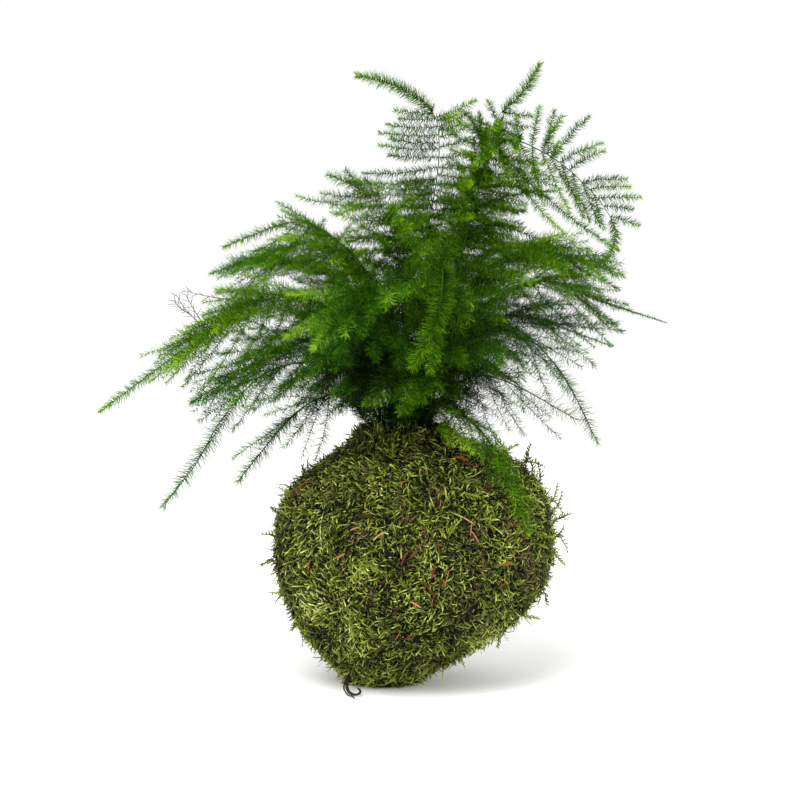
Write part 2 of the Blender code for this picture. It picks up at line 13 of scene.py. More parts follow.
import bpy
import numpy as np
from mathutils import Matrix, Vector


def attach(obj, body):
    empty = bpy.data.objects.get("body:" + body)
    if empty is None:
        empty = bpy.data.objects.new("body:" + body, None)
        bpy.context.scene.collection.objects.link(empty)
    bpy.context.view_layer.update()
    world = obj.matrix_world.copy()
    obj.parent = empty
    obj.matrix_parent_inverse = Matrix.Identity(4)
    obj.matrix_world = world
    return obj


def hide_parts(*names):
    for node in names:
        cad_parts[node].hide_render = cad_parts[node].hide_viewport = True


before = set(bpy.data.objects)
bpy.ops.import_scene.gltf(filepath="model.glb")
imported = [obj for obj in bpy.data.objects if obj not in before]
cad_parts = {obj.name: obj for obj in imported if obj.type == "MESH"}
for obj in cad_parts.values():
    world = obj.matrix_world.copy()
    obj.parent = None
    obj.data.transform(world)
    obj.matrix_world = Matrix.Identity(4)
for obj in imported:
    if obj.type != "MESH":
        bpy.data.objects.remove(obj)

MM = 0.001
GOLDEN_ANGLE = math.pi * (3 - math.sqrt(5))
UP = np.array([0.0, 0.0, 1.0])
RIGHT_WAY = np.array([1.0, 0.0, 0.0])
FRONT_WAY = np.array([0.0, -1.0, 0.0])
LEVEL = np.array([1, 1, 0])   # times this, a vector loses its rise

# The moss ball without its shoots: height, X of the section's middle, half width.
BALL_PROFILE = (
    (0, -5, 17), (5, -4.8, 20.5), (14, -1.5, 32.5), (28, 4, 50), (45, 8, 62), (60, 9, 66.5), (76, 9.5, 67),
    (92, 10, 63), (104, 11.5, 53), (112, 11.5, 41.5), (119, 8, 29), (124, 4.5, 21), (128, 3.5, 19.5),
)
BALL_DEPTH_RATIO = 0.96       # depth of a section over its width
BALL_MIDDLE = np.array([10.0, 0.0, 66.0])
BALL_REACH = 90.0             # farther from its middle than any point of its skin
WHOLE_BALL = (0, 128)         # heights of its lowest and highest point
SKIN_STEP = 0.01              # of area share and of angle, to find the way out of the skin
FLOOR_GAP = 0.3               # the lowest that the mat, the root and the litter come
SHOOT_FLOOR_GAP = 0.5         # the lowest that the middle line of a moss shoot comes

CROWN = (3.5, 0.0)            # X, Y of the middle of the crown of stems
SOIL_TOP = 121.0
CROWN_OPENING = 16.0          # radius of the moss's open top
HOLE_DEPTH = 11.0             # how deep the stems stand in the soil

# What changes smoothly from place to place, such as a light, is a sum of waves.
PATCH_WAVES = 7
PATCH_WAVE_LENGTHS = (1.2, 3.2)    # over the size of the patches
PATCH_HEIGHT = 3              # the sum divided by this is mostly between -1 and 1

# Stems.
STEM_RADIUS = (0.85, 0.38, 0.15)   # at its foot, halfway and at its tip
STEM_LIGHT = (0.05, 0.15)     # at its foot and where it turns green
STEM_GREEN_FROM = 0.4         # share of its length
STEM_TIP_LIGHTER = 0.1        # how much lighter its tip is than the frond
STEM_STATIONS = 42
STEM_SIDES = 8

# Side twigs.
TWIG_RADIUS = (0.2, 0.08)     # at its root and at its tip
TWIG_STATIONS = 5
TWIG_SIDES = 3
TWIG_TIP_LIGHTER = 0.1        # how much lighter its bark is at the tip than at the root
TWIG_STRAY = 0.2              # how far its root strays along the stem, over the spacing
TWIG_CLOSING = 0.25           # share of its angle to the stem that goes by the stem's end
TWIG_ANGLE_SPREAD = 6         # degrees
TWIG_TILT = (-0.15, 0.25)     # out of the plume's flat
TWIG_OUTWARD = 0.7            # how much a rising stem's twigs turn away from the crown
TWIG_DROOP = 0.55             # and how much they hang
TWIG_LENGTHS = (0.75, 1.12)   # over what PLUME_OUTLINE gives
TWIG_FOLLOWS = 0.25           # how much it bends to the stem's way
TWIG_SAG = 0.28               # how much it bends down
TWIG_BEND_SPREAD = 0.1
TWIG_LIGHTENING = 0.12        # how much lighter twigs get from the stem's foot to its end
TWIG_LIGHT_SPREAD = 0.1
TWIG_NEEDLES = (0.88, 1.1)    # length of a twig's needles over that of the frond's
TIP_GLOW = (0.0, 0.06, 0.14, 0.3)   # one of these each: how much lighter its young tip is
# Reach of the side twigs along the plume, as a share of the longest.
PLUME_OUTLINE = ((0, 0.45), (0.12, 0.8), (0.3, 1.0), (0.6, 0.75), (0.85, 0.42), (1, 0.2))
PLUME_WIDEST = 0.3            # where the twigs have the frond's own light
BRUSH_ALONE = 0.6             # share of a stem's brush that side twigs never reach

# Twigs that end at given points.
CLEAR_FOLLOWS = 0.3           # how much they bow to the stem's way
CLEAR_BEND_SPREAD = 0.08
CLEAR_LIGHT = (-0.1, 0.12)    # over the frond's
CLEAR_NEEDLES = 0.9           # length of their needles over that of the frond's
CLEAR_EXTRA = 3               # needles more in a ring

# The needles on the stem's own tip.
LEADER_LIGHTER = 0.05         # than the frond
LEADER_GLOW = 0.12            # how much lighter its end is still
LEADER_WHORL = 2              # needles in a ring for each one of a side twig

# Twigs that hang from the lower part of a stem.
SKIRT_BAND = (0.8, 1.7)       # where they root, over the length that has no side twigs
SKIRT_STRAY = 0.7             # spread of the way out from the crown
SKIRT_RISE = (-0.2, 0.45)     # how much they rise where they root
SKIRT_SAG = (0.3, 0.8)        # how much they bend down
SKIRT_LENGTHS = (24, 46)
SKIRT_SHORTEST = 8
SKIRT_CLEAR = 16              # one that roots lower than this over the soil is kept to SKIRT_LOW
SKIRT_LOW = 10
SKIRT_PER_HEIGHT = 1.5        # and may be this much longer for each millimetre higher
# Painted shade: the twigs that hang round the crown are coloured darker than their frond.
SKIRT_LIGHT = (0.09, 0.3)
SKIRT_NEEDLES = 1.05          # length of their needles over that of the frond's

# Needles.
WHORL_SPACING = 1.2           # between the rings of needles along a twig
WHORL_STRAY = 0.14            # spread of a needle's place along the twig, over the spacing
FIRST_NEEDLE = 0.02           # share of the twig where needles begin
NEEDLE_TIP = 0.45             # width of its tip over that of its foot
NEEDLE_WIDTHS = (0.8, 1.2)    # over the frond's
NEEDLE_LENGTHS = (0.65, 1.15)      # over the twig's
NEEDLE_LEAN = 64.0            # degrees between a needle and its twig
NEEDLE_LEAN_SPREAD = 12
RING_FLATNESS = 0.75          # a ring's depth over its width
TWIG_TIP_FROM = 0.75          # share of the twig where its tip begins
TIP_CLOSING = 26              # degrees that needles close up by the end of the tip
TIP_SHORTER = 0.4             # share of their length that they lose there
ROOT_NEEDLES = (4, 0.7)       # how far from its root a twig's needles are short, and how short
NEEDLE_LIGHT_SPREAD = 0.13
ROOT_DARKER = 0.15            # painted shade: how much darker needles are at a twig's root than at its tip
NEEDLE_LIGHTENING = np.array([-0.15, -0.15, 0.15, 0.15])   # painted shade at the corners of a needle's foot and a painted highlight at those of its tip
SHADE_DISTANCE = (15, 60, 110)    # from the heart of the plant
SHADE = (0.26, 0.07, -0.02)       # painted shade: how much darker the needles are that far from it
HEART = np.array([3.5, 0.0, 135.0])

# Short shoots round the feet of the stems.
INNER_SHOOTS = 58
INNER_RADIUS = 15             # of the patch they stand in
INNER_OUTWARD = 0.035         # how much one leans outwards for each millimetre from the middle
INNER_LEAN_SPREAD = 0.22
INNER_BOW = 0.3               # how much one bends outwards
INNER_BOW_SPREAD = 0.15
INNER_LENGTHS = (12, 25)
# Painted shade: these shoots are coloured nearly black-green for the deep shade round the stems' feet.
INNER_LIGHT = (0.0, 0.2)
INNER_NEEDLE = 5.5            # length of a needle
INNER_WHORL = 9               # needles in one ring
INNER_BLADE = 0.28            # width of a needle at its foot

# The mat under the moss shoots.
MAT_ROUNDS = 96               # corners in one round of it
# Height, X and half width of its turned-in rim and of its lowest section.
MAT_RIM = ((SOIL_TOP - 1, CROWN[0], CROWN_OPENING - 0.8), (SOIL_TOP + 4, CROWN[0], CROWN_OPENING + 0.5))
MAT_FOOT = (FLOOR_GAP, 0, 12)
MAT_LUMPS = (0.9, 3.0)        # height and size
MAT_CRUMBS = (0.6, 1.3)       # height and size
MAT_SUNK = 0.6                # how far it lies under the ball's skin
MAT_LIGHT = (0.3, 0.3, 6.0)   # its light, how much that drifts and over what size
MAT_BROWN_SIZE = 14.0         # of the places where it is brown

# The way the moss lies.
MOSS_DOWN = 0.5               # how much it hangs
MOSS_SWIRL = 1.1              # how much it is swirled
MOSS_SWIRL_SIZE = 16.0        # of the places that swirl one way
MOSS_DRIFT = 0.02             # keeps the way from coming out as nothing

# A single shoot of moss.
SHOOT_STOPS = np.array([0.0, 0.4, 0.78, 1.0])     # shares of its length
SHOOT_PROFILE = np.array([0.8, 1.1, 0.95, 0.0])   # its width at each stop
SHOOT_WIDTHS = (0.8, 1.3)     # over its layer's
SHOOT_TURN = (0.4, 2.4)       # radians that it curls over its length
SHOOT_STRAY = 0.6             # spread of the way it lies
SHOOT_HOOK = (0, 1.2)         # how much its tip turns down to the mat
SHOOT_FACING_SPREAD = 0.6     # of the way its flat side faces
SHOOT_LENGTH_DRIFT = (0.32, 8.0)   # how much longer it is in some places, and their size
SHOOT_LIGHT_DRIFT = (0.14, 12.0)   # how much lighter it is in some places, and their size
SHOOT_LIGHTENING = (-0.4, 0.25)    # darker at its foot as painted shade where it leaves the mat, lighter at its tip partly from fresh growth and partly as painted light
SHOOT_PAINTED_LIGHT = 0.12            # painted light: how much lighter it is near the places on the front listed for that
SHOOT_BROWN_SIZE = 8.0        # of the places where it is brown
SHOOT_BROWN_SPREAD = 0.6
SHOOT_BROWN_FROM = 1.4        # brown where patches, BROWN_PLACES and chance add up to more
SHOOT_DRY = (0.5, 1)          # how dry a brown one is
SHOOT_FRESH_DRY = (0, 0.12)   # and a green one
PLACE_SHAKE = 0.02            # radians that a place on the ball is off its even spacing

# Sprigs: a shoot for the axis, and shorter ones in two rows for the branches.
STRAY_SPRIGS = 60
SPRIG_BAND = (8, 122)         # lowest and highest foot of the stray ones
SPRIG_STRAY = 0.8             # spread of the way that a stray one lies
SPRIG_LENGTHS = (7, 13)       # of the stray ones
SPRIG_STANDS = (0.2, 0.9)     # how steeply the stray ones stand
SPRIG_LYING = 1               # one that stands steeper turns its broad side to the front
SPRIG_LIFT = 0.8              # its foot over the ball's skin
SPRIG_BOW_SPREAD = 0.25       # of its bow to the side
SPRIG_BOW = 0.25              # how much its axis bends down to the ball
SPRIG_SPACING = 0.95          # between branches
SPRIG_BARE = (1.0, 0.5)       # length without branches at its foot and at its tip
BRANCH_PLACES = (0, 0.3, 1)   # shares of the axis
BRANCH_LENGTHS = (2.2, 3.0, 1.2)   # of a branch that roots there
BRANCH_LENGTH_RANGE = (0.7, 1.3)   # over that
BRANCH_STANDING = 0.7         # length of a standing sprig's branches over a lying one's
BRANCH_AHEAD = 0.75           # how much it leans to the sprig's tip
BRANCH_SPREAD = 0.22
BRANCH_BEND = (0.4, -0.3, -0.25)   # to the sprig's tip, out of its flat and to the branch's side
SPRIG_WIDTH = 0.56            # of its axis and branches
SPRIG_LIGHT = (0.3, 0.68)
SPRIG_LIGHTENING = (-0.2, 0.15)    # darker at the foot of each part as painted shade, and lighter at its tip partly from fresh growth and partly as painted light


class Frond(NamedTuple):
    """A frond of the fern."""

    stem: tuple               # points its stem passes after it leaves the soil
    foot: tuple               # radius and azimuth of its foot in the crown
    bare: float               # share of its length that has no side twigs
    reach: float              # length of its longest side twigs
    angle: float              # angle of the lowest side twigs to the stem
    needle: float             # length of a needle
    face: tuple               # the way the flat side of its plume faces
    spacing: float            # between the side twigs on one side of the stem
    light: float              # how light its green is, from 0 to 1
    brush: float              # length of the stem's tip that carries needles and no twigs
    skirt: int                # number of twigs that hang from the lower part of its stem
    whorl: int                # needles in one ring round a twig
    full: float               # share of its length up to which side twigs follow closely
    blade: float = 0.24       # width of a needle at its foot
    tip: float = 1.1          # length of the needles on its tip over that of the others


class Shoots(NamedTuple):
    """The looks of one layer of moss. Lengths, rises and lights are ranges."""

    count: int
    length: tuple
    rise: tuple               # degrees between the mat and a shoot's foot
    width: float
    light: tuple
    sunk: float               # how deep its feet are in the mat
    band: tuple = WHOLE_BALL  # lowest and highest foot on the ball


FRONDS = {
    "frond_tall_back_left": Frond(
        stem=((4, 10, 159), (12, 20, 203), (20, 27, 243), (22, 28, 265), (19, 27, 281),
              (6, 25, 292), (-19, 22, 299)),
        foot=(3.6, 60), bare=0.32, reach=32, angle=76, needle=3.9, face=(0, -1, 0.1),
        spacing=3.4, light=0.44, brush=44, skirt=10,
        whorl=13, full=0.66, tip=1.25, blade=0.28),
    "frond_tall_back_middle": Frond(
        stem=((15, 26, 163), (29, 42, 212), (42, 50, 253), (51, 52, 278), (63, 52, 290),
              (73, 50, 306)),
        foot=(7.2, 80), bare=0.32, reach=30, angle=60, needle=3.8, face=(-0.2, -1, 0.2),
        spacing=3.6, light=0.42, brush=31, skirt=10,
        whorl=13, full=0.7, tip=1.2, blade=0.27),
    "frond_arching_right": Frond(
        stem=((19, 10, 164), (34, 18, 215), (50, 25, 264), (73, 29, 262), (98, 28, 242),
              (110, 25, 222), (104, 22, 207)),
        foot=(7.2, 42), bare=0.34, reach=32, angle=60, needle=3.9, face=(0.1, -1, 0.3),
        spacing=3.6, light=0.45, brush=24, skirt=10,
        whorl=13, full=0.62, blade=0.28),
    "frond_right_shoulder": Frond(
        stem=((19, -14, 161), (34, -28, 195), (57, -38, 213), (83, -44, 211), (107, -48, 203)),
        foot=(7.2, 324), bare=0.24, reach=38, angle=48, needle=4.6, face=(0, -0.35, 1),
        spacing=3.8, light=0.33, brush=18, skirt=14,
        whorl=10, full=1),
    "frond_right_long": Frond(
        stem=((23, 2, 157), (43, 6, 186), (72, 10, 198), (101, 13, 188), (135, 16, 177)),
        foot=(7.2, 5), bare=0.24, reach=37, angle=40, needle=3.6, face=(0, -0.45, 1),
        spacing=4.8, light=0.33, brush=30, skirt=14,
        whorl=9, full=0.76, tip=0.35),
    "frond_right_middle": Frond(
        stem=((22, -10, 151), (39, -22, 176), (61, -30, 183), (81, -36, 177), (103, -40, 169)),
        foot=(11.2, 339), bare=0.24, reach=36, angle=44, needle=5.0, face=(0, -0.6, 1),
        spacing=4.8, light=0.34, brush=36, skirt=16,
        whorl=8, full=0.78, tip=0.55, blade=0.2),
    "frond_right_dark": Frond(
        stem=((20, -24, 157), (35, -44, 179), (55, -56, 179), (77, -64, 159), (94, -68, 126)),
        foot=(11.2, 298), bare=0.28, reach=38, angle=46, needle=5.4, face=(0.3, -0.8, 0.6),
        spacing=8.0, light=0.3, brush=44, skirt=14,
        whorl=7, full=0.66, blade=0.18),
    "frond_right_low": Frond(
        stem=((24, -3, 143), (41, -14, 153), (60, -22, 148), (87, -28, 133)),
        foot=(11.2, 0), bare=0.24, reach=32, angle=44, needle=6.0, face=(0, -0.8, 0.6),
        spacing=6.5, light=0.38, brush=26, skirt=14,
        whorl=5, full=0.62, tip=1.15, blade=0.18),
    "frond_over_ball": Frond(
        stem=((20, -20, 140), (34, -40, 135), (46, -54, 123), (55, -61, 104), (62, -62, 83)),
        foot=(11.2, 319), bare=0.22, reach=13, angle=38, needle=5.0, face=(0.6, -0.6, 0.5),
        spacing=3.4, light=0.4, brush=18, skirt=10,
        whorl=6, full=1, blade=0.21),
    "frond_front_droop": Frond(
        stem=((13, -34, 167), (21, -62, 204), (22, -81, 204), (20.5, -92, 190), (18, -98, 179),
              (8, -102, 164)),
        foot=(7.2, 284), bare=0.26, reach=28, angle=50, needle=6.4, face=(0, -0.8, 0.6),
        spacing=5.0, light=0.32, brush=60, skirt=22,
        whorl=12, full=0.64, blade=0.2),
    "frond_front_short": Frond(
        stem=((10, -28, 145), (17, -46, 152), (13, -61, 151), (1, -67, 148), (-14, -69, 144.5)),
        foot=(11.2, 270), bare=0.24, reach=9, angle=50, needle=5.4, face=(0, -0.7, 0.7),
        spacing=10.0, light=0.34, brush=30, skirt=8,
        whorl=11, full=1, tip=0.8, blade=0.2),
    "frond_front_left": Frond(
        stem=((0, -30, 169), (-5, -58, 197), (-17, -83, 190), (-35, -96, 173)),
        foot=(7.2, 245), bare=0.24, reach=36, angle=48, needle=5.4, face=(-0.3, -0.7, 0.7),
        spacing=4.4, light=0.38, brush=26, skirt=24,
        whorl=11, full=1, blade=0.2),
    "frond_left_long": Frond(
        stem=((-11, -6, 159), (-31, -16, 186), (-60, -26, 191), (-88, -34, 176), (-140, -40, 138)),
        foot=(7.2, 200), bare=0.24, reach=36, angle=30, needle=4.4, face=(0, -0.6, 1),
        spacing=4.2, light=0.45, brush=50, skirt=14,
        whorl=10, full=0.74, tip=1.0),
    "frond_left_low_far": Frond(
        stem=((-10, -28, 150), (-34, -50, 162), (-60, -62, 158), (-80, -70, 137), (-91, -73, 118),
              (-107, -74, 97)),
        foot=(11.2, 237), bare=0.24, reach=36, angle=42, needle=5.2, face=(-0.2, -0.7, 0.7),
        spacing=6.5, light=0.38, brush=66, skirt=16,
        whorl=9, full=0.56, tip=1.25, blade=0.2),
    "frond_left_low_near": Frond(
        stem=((-14, -10, 143), (-29, -22, 145), (-49, -30, 135), (-75, -36, 104)),
        foot=(11.2, 207), bare=0.24, reach=32, angle=42, needle=5.2, face=(0, -0.8, 0.6),
        spacing=6.5, light=0.44, brush=44, skirt=18,
        whorl=8, full=0.56, tip=1.25, blade=0.2),
    "frond_left_middle": Frond(
        stem=((-11, 6, 153), (-27, 12, 170), (-52, 18, 165), (-102, 22, 137)),
        foot=(11.2, 160), bare=0.24, reach=42, angle=40, needle=4.8, face=(0, -0.5, 0.9),
        spacing=5.2, light=0.44, brush=26, skirt=14,
        whorl=9, full=1),
    "frond_left_upper": Frond(
        stem=((-8, 18, 163), (-20, 34, 198), (-39, 44, 216), (-65, 50, 210), (-94, 54, 200)),
        foot=(7.2, 125), bare=0.24, reach=38, angle=45, needle=3.8, face=(0, -0.3, 1),
        spacing=4.2, light=0.48, brush=24, skirt=10,
        whorl=10, full=1, blade=0.21),
    "frond_left_top": Frond(
        stem=((-4, 2, 167), (-13, 4, 201), (-32, 2, 221), (-51, -2, 227), (-83, -8, 215)),
        foot=(3.6, 165), bare=0.27, reach=36, angle=46, needle=3.7, face=(0, -0.5, 1),
        spacing=4.0, light=0.46, brush=34, skirt=14,
        whorl=10, full=0.72),
    "frond_top_left_middle": Frond(
        stem=((4, -8, 170), (2, -18, 207), (-5, -24, 232), (-18, -26, 244), (-32, -26, 250)),
        foot=(3.6, 270), bare=0.27, reach=36, angle=56, needle=4.0, face=(-0.3, -0.8, 0.5),
        spacing=3.6, light=0.38, brush=24, skirt=16,
        whorl=10, full=1),
    "frond_back_right": Frond(
        stem=((12.5, 19, 143), (17, 38, 165), (39, 70, 204), (71, 92, 214), (101, 108, 189)),
        foot=(11.2, 58), bare=0.28, reach=38, angle=48, needle=4.8, face=(0, 0.2, 1),
        spacing=5.0, light=0.3, brush=20, skirt=16,
        whorl=8, full=1),
    "frond_back_left": Frond(
        stem=((-2, 20, 143), (-8, 40, 165), (-34, 72, 201), (-66, 96, 203), (-90, 112, 174)),
        foot=(11.2, 122), bare=0.28, reach=38, angle=48, needle=4.8, face=(0, 0.2, 1),
        spacing=5.0, light=0.36, brush=20, skirt=16,
        whorl=8, full=1),
    "frond_back_middle": Frond(
        stem=((4, 20, 143), (6, 44, 168), (12, 80, 211), (16, 104, 229), (18, 126, 199)),
        foot=(11.2, 92), bare=0.28, reach=36, angle=50, needle=4.8, face=(0, 0.4, 1),
        spacing=5.0, light=0.3, brush=20, skirt=16,
        whorl=8, full=1),
}
# Fronds whose growth is young and light.
YOUNG_FRONDS = (
    "frond_tall_back_left", "frond_tall_back_middle", "frond_arching_right", "frond_front_droop",
    "frond_left_top", "frond_top_left_middle", "frond_left_long", "frond_over_ball",
    "frond_right_shoulder", "frond_front_short",
)
# Side twigs that stand out from the rest: how far their roots are from the stem's end, and the
# points where they end. Some are lighter or darker than the rest, by the third value.
CLEAR_TWIGS = {
    "frond_tall_back_left": (
        (44, (0, 21, 282)), (47, (2, 21, 278)), (51, (-4, 22, 275)), (55, (-8, 22, 271)),
        (59, (-2, 22, 268)), (62, (-8, 22, 265)), (66, (-3, 22, 260)), (71, (-16, 22, 251)),
        (46, (40, 21, 287)), (51, (37, 24, 281)), (56, (38, 22, 275)), (61, (37, 24, 268)),
        (66, (39, 22, 261)), (71, (40, 22, 254)), (48, (31, 14, 280)), (53, (33, 16, 276)),
        (78, (-24, 20, 247)), (84, (-18, 16, 241)), (90, (-24, 12, 236)), (96, (-16, 8, 231)),
        (82, (-8, 30, 244)), (90, (-6, 32, 236)), (98, (-10, 24, 226)), (80, (38, 20, 246)),
        (88, (36, 14, 238)), (96, (38, 8, 230))),
    "frond_tall_back_middle": (
        (31, (69, 46, 280)), (36, (67, 46, 274)), (41, (64, 44, 268)), (35, (47, 46, 288)),
        (40, (34, 46, 282)), (45, (32, 44, 277)), (50, (30, 45, 270)), (56, (28, 45, 263)),
        (62, (26, 44, 256)), (47, (59, 46, 262)), (54, (57, 45, 255)), (62, (54, 44, 247)),
        (38, (63, 34, 269)), (42, (61, 32, 266)), (47, (37, 30, 279)), (52, (42, 28, 281)),
        (57, (46, 30, 276)), (60, (35, 32, 262)), (64, (48, 34, 252)), (70, (60, 30, 240)),
        (78, (64, 28, 232)), (86, (60, 24, 224)), (94, (62, 22, 216)), (72, (26, 30, 246)),
        (80, (22, 28, 238))),
    "frond_arching_right": (
        (69, (79, 23, 282)), (66, (96, 23, 279)), (78, (72, 23, 284)), (62, (103, 23, 266)),
        (56, (104, 23, 262)), (47, (115, 22, 248)), (42, (117, 22, 244)), (36, (122, 22, 239)),
        (31, (118, 21, 233)), (25, (121, 20, 225)), (73, (87, 23, 231)), (78, (74, 23, 235)),
        (61, (94, 23, 229)), (54, (97, 23, 227)), (47, (102, 23, 225)), (39, (104, 22, 223)),
        (86, (66, 22, 240)), (96, (58, 19, 243)), (84, (60, 22, 279)), (96, (52, 19, 276)),
        (67, (81, 20, 266)), (72, (83, 18, 279)), (90, (61, 14, 262)), (92, (48, 16, 262)),
        (98, (40, 14, 256)), (86, (72, 26, 250)), (68, (91, 26, 238)), (98, (84, 12, 221)),
        (99, (110, 10, 213))),
    "frond_left_upper": (
        (56, (-36, 40, 228)), (66, (-22, 30, 226)), (48, (-58, 40, 208)), (74, (-40, 20, 210)),
        (84, (-10, 14, 214)), (60, (-70, 34, 204)), (84, (-46, 30, 202)), (74, (-58, 30, 200)),
        (90, (-38, 28, 204)), (66, (-66, 38, 198))),
    "frond_left_middle": (
        (92, (-52, 10, 184)), (84, (-62, 8, 181)), (76, (-72, 8, 175)), (68, (-80, 6, 169)),
        (60, (-88, 10, 162)), (50, (-98, 12, 152)), (100, (-44, 4, 180))),
    "frond_top_left_middle": (
        (54, (-40, -10, 216)), (62, (-24, -2, 214)), (70, (-36, -28, 206)), (48, (-16, -40, 226)),
        (24, (-35, -22, 241)), (30, (-47, -20, 240)), (38, (-30, -34, 232)), (46, (-38, -30, 222)),
        (36, (8, -34, 240)), (44, (16, -34, 232)), (52, (24, -34, 222)), (60, (32, -30, 214)),
        (66, (-18, -34, 213)), (72, (10, -38, 213)), (58, (-8, -40, 222)), (78, (-22, -30, 204)),
        (82, (20, -40, 206))),
    "frond_left_top": (
        (48, (-57, -7, 237)), (56, (-55, -10, 233)), (40, (-70, -10, 212)), (46, (-62, -16, 207)),
        (52, (-54, -20, 203)), (58, (-60, 8, 226)), (64, (-30, -20, 208)), (70, (-14, -16, 214)),
        (76, (-24, 10, 206)), (84, (-2, -12, 216)), (62, (-46, -24, 200)), (72, (-34, -26, 198))),
    "frond_right_shoulder": (
        (40, (96, -50, 196)), (52, (84, -52, 192)), (30, (106, -40, 196)), (62, (70, -52, 186)),
        (60, (100, -34, 210))),
    "frond_right_middle": (
        (50, (109, -32, 176)), (60, (106, -34, 180)), (40, (95, -44, 160)), (56, (78, -50, 156))),
    "frond_right_dark": (
        (60, (72, -62, 146)), (52, (85, -56, 168)), (66, (60, -64, 140)), (58, (80, -72, 150)),
        (64, (88, -50, 160))),
    "frond_right_low": (
        (40, (79, -36, 125)), (55, (49, -42, 122)), (46, (62, -38, 126)), (34, (76, -18, 133)),
        (62, (40, -34, 127)), (50, (56, -10, 126))),
    "frond_over_ball": (
        (40, (64, -58, 97)), (50, (45, -64, 108)), (86, (27, -40, 122), 0.26),
        (82, (32, -44, 121), 0.26), (77, (37, -48, 119), 0.22), (72, (42, -51, 116), 0.18),
        (92, (24, -38, 126), 0.1)),
    "frond_front_droop": (
        (30, (16, -104, 162)), (52, (34, -84, 184), -0.15)),
    "frond_front_short": (
        (46, (2, -66, 140), 0.08), (48, (30, -52, 148), -0.25), (54, (34, -46, 144), -0.25)),
    "frond_right_long": (
        (40, (119, 15, 182)), (52, (112, 10, 173)), (62, (107, 8, 166)), (58, (110, 12, 176)),
        (46, (116, 20, 186)), (72, (98, 4, 166))),
    "frond_front_left": (
        (38, (-41, -80, 165)), (56, (-50, -84, 176), 0.3), (46, (-39, -78, 157)),
        (62, (-50, -64, 195), 0.34), (42, (-28, -88, 161), -0.1), (34, (-21, -92, 166), -0.1),
        (50, (-8, -88, 166), -0.1), (58, (-45, -64, 185), -0.1), (66, (-30, -60, 200)),
        (42, (-37, -99, 172), 0.3), (48, (-36, -85, 173), -0.1),
        (64, (-44, -66, 158), -0.1), (72, (-34, -58, 148), -0.15)),
    "frond_left_long": (
        (62, (-116, -42, 152)), (74, (-108, -42, 152)), (84, (-100, -44, 150)),
        (72, (-112, -30, 166)), (92, (-88, -48, 152)), (100, (-76, -50, 156)),
        (96, (-92, -24, 180)), (108, (-66, -44, 158)), (104, (-84, -16, 176)), (112, (-72, -14, 182)),
        (86, (-100, -20, 174)), (120, (-58, -40, 164)), (78, (-104, -52, 160))),
    "frond_left_low_far": (
        (75, (-95, -64, 144)), (66, (-91, -66, 136)), (84, (-76, -56, 131)), (84, (-84, -48, 152)),
        (92, (-80, -60, 150)), (98, (-66, -56, 140)), (106, (-58, -58, 144)), (112, (-52, -58, 152)),
        (118, (-46, -52, 142))),
    "frond_left_low_near": (
        (44, (-77, -42, 116)), (55, (-53, -32, 120)), (62, (-38, -26, 114)), (48, (-64, -28, 122)),
        (58, (-62, -36, 136))),
}
# Painted shade and light: the deep layer is coloured nearly black and the outer ones light, for the shade
# deep in the moss and the light on its top.
MOSS_LAYERS = {
    "moss_shoots_deep": Shoots(12000, (3.0, 5.0), (5, 40), 0.6, (0.02, 0.3), 0.6),
    "moss_shoots_middle": Shoots(28500, (2.4, 4.8), (5, 60), 0.5, (0.18, 0.6), 0.1),
    "moss_shoots_outer": Shoots(8000, (2.4, 5.4), (15, 80), 0.5, (0.39, 0.82), -0.6),
    "moss_shoots_long": Shoots(2400, (5.0, 9.5), (20, 90), 0.52, (0.4, 0.8), 0.2),
    "moss_fringe_foot": Shoots(450, (5.0, 9.0), (5, 50), 0.65, (0.5, 0.85), 0.0, (2, 14)),
    "moss_tufts_crown": Shoots(420, (4.0, 8.0), (50, 90), 0.6, (0.2, 0.65), 0.0, (121, 128)),
}
# Places on the front where the moss is painted lighter, as painted light, and where it has gone brown: X,
# height and radius.
PAINTED_LIGHT_PLACES = ((-30, 98, 14), (-8, 112, 12), (-34, 84, 9), (-36, 44, 16), (20, 118, 12),
                (62, 36, 14), (-46, 86, 12), (46, 28, 14))
BROWN_PLACES = (
    (-45, 98, 9), (-56, 72, 6), (62, 60, 14), (40, 104, 9), (10, 74, 7), (50, 74, 12), (-10, 84, 7),
    (74, 80, 8), (22, 60, 7), (-20, 104, 5),
)
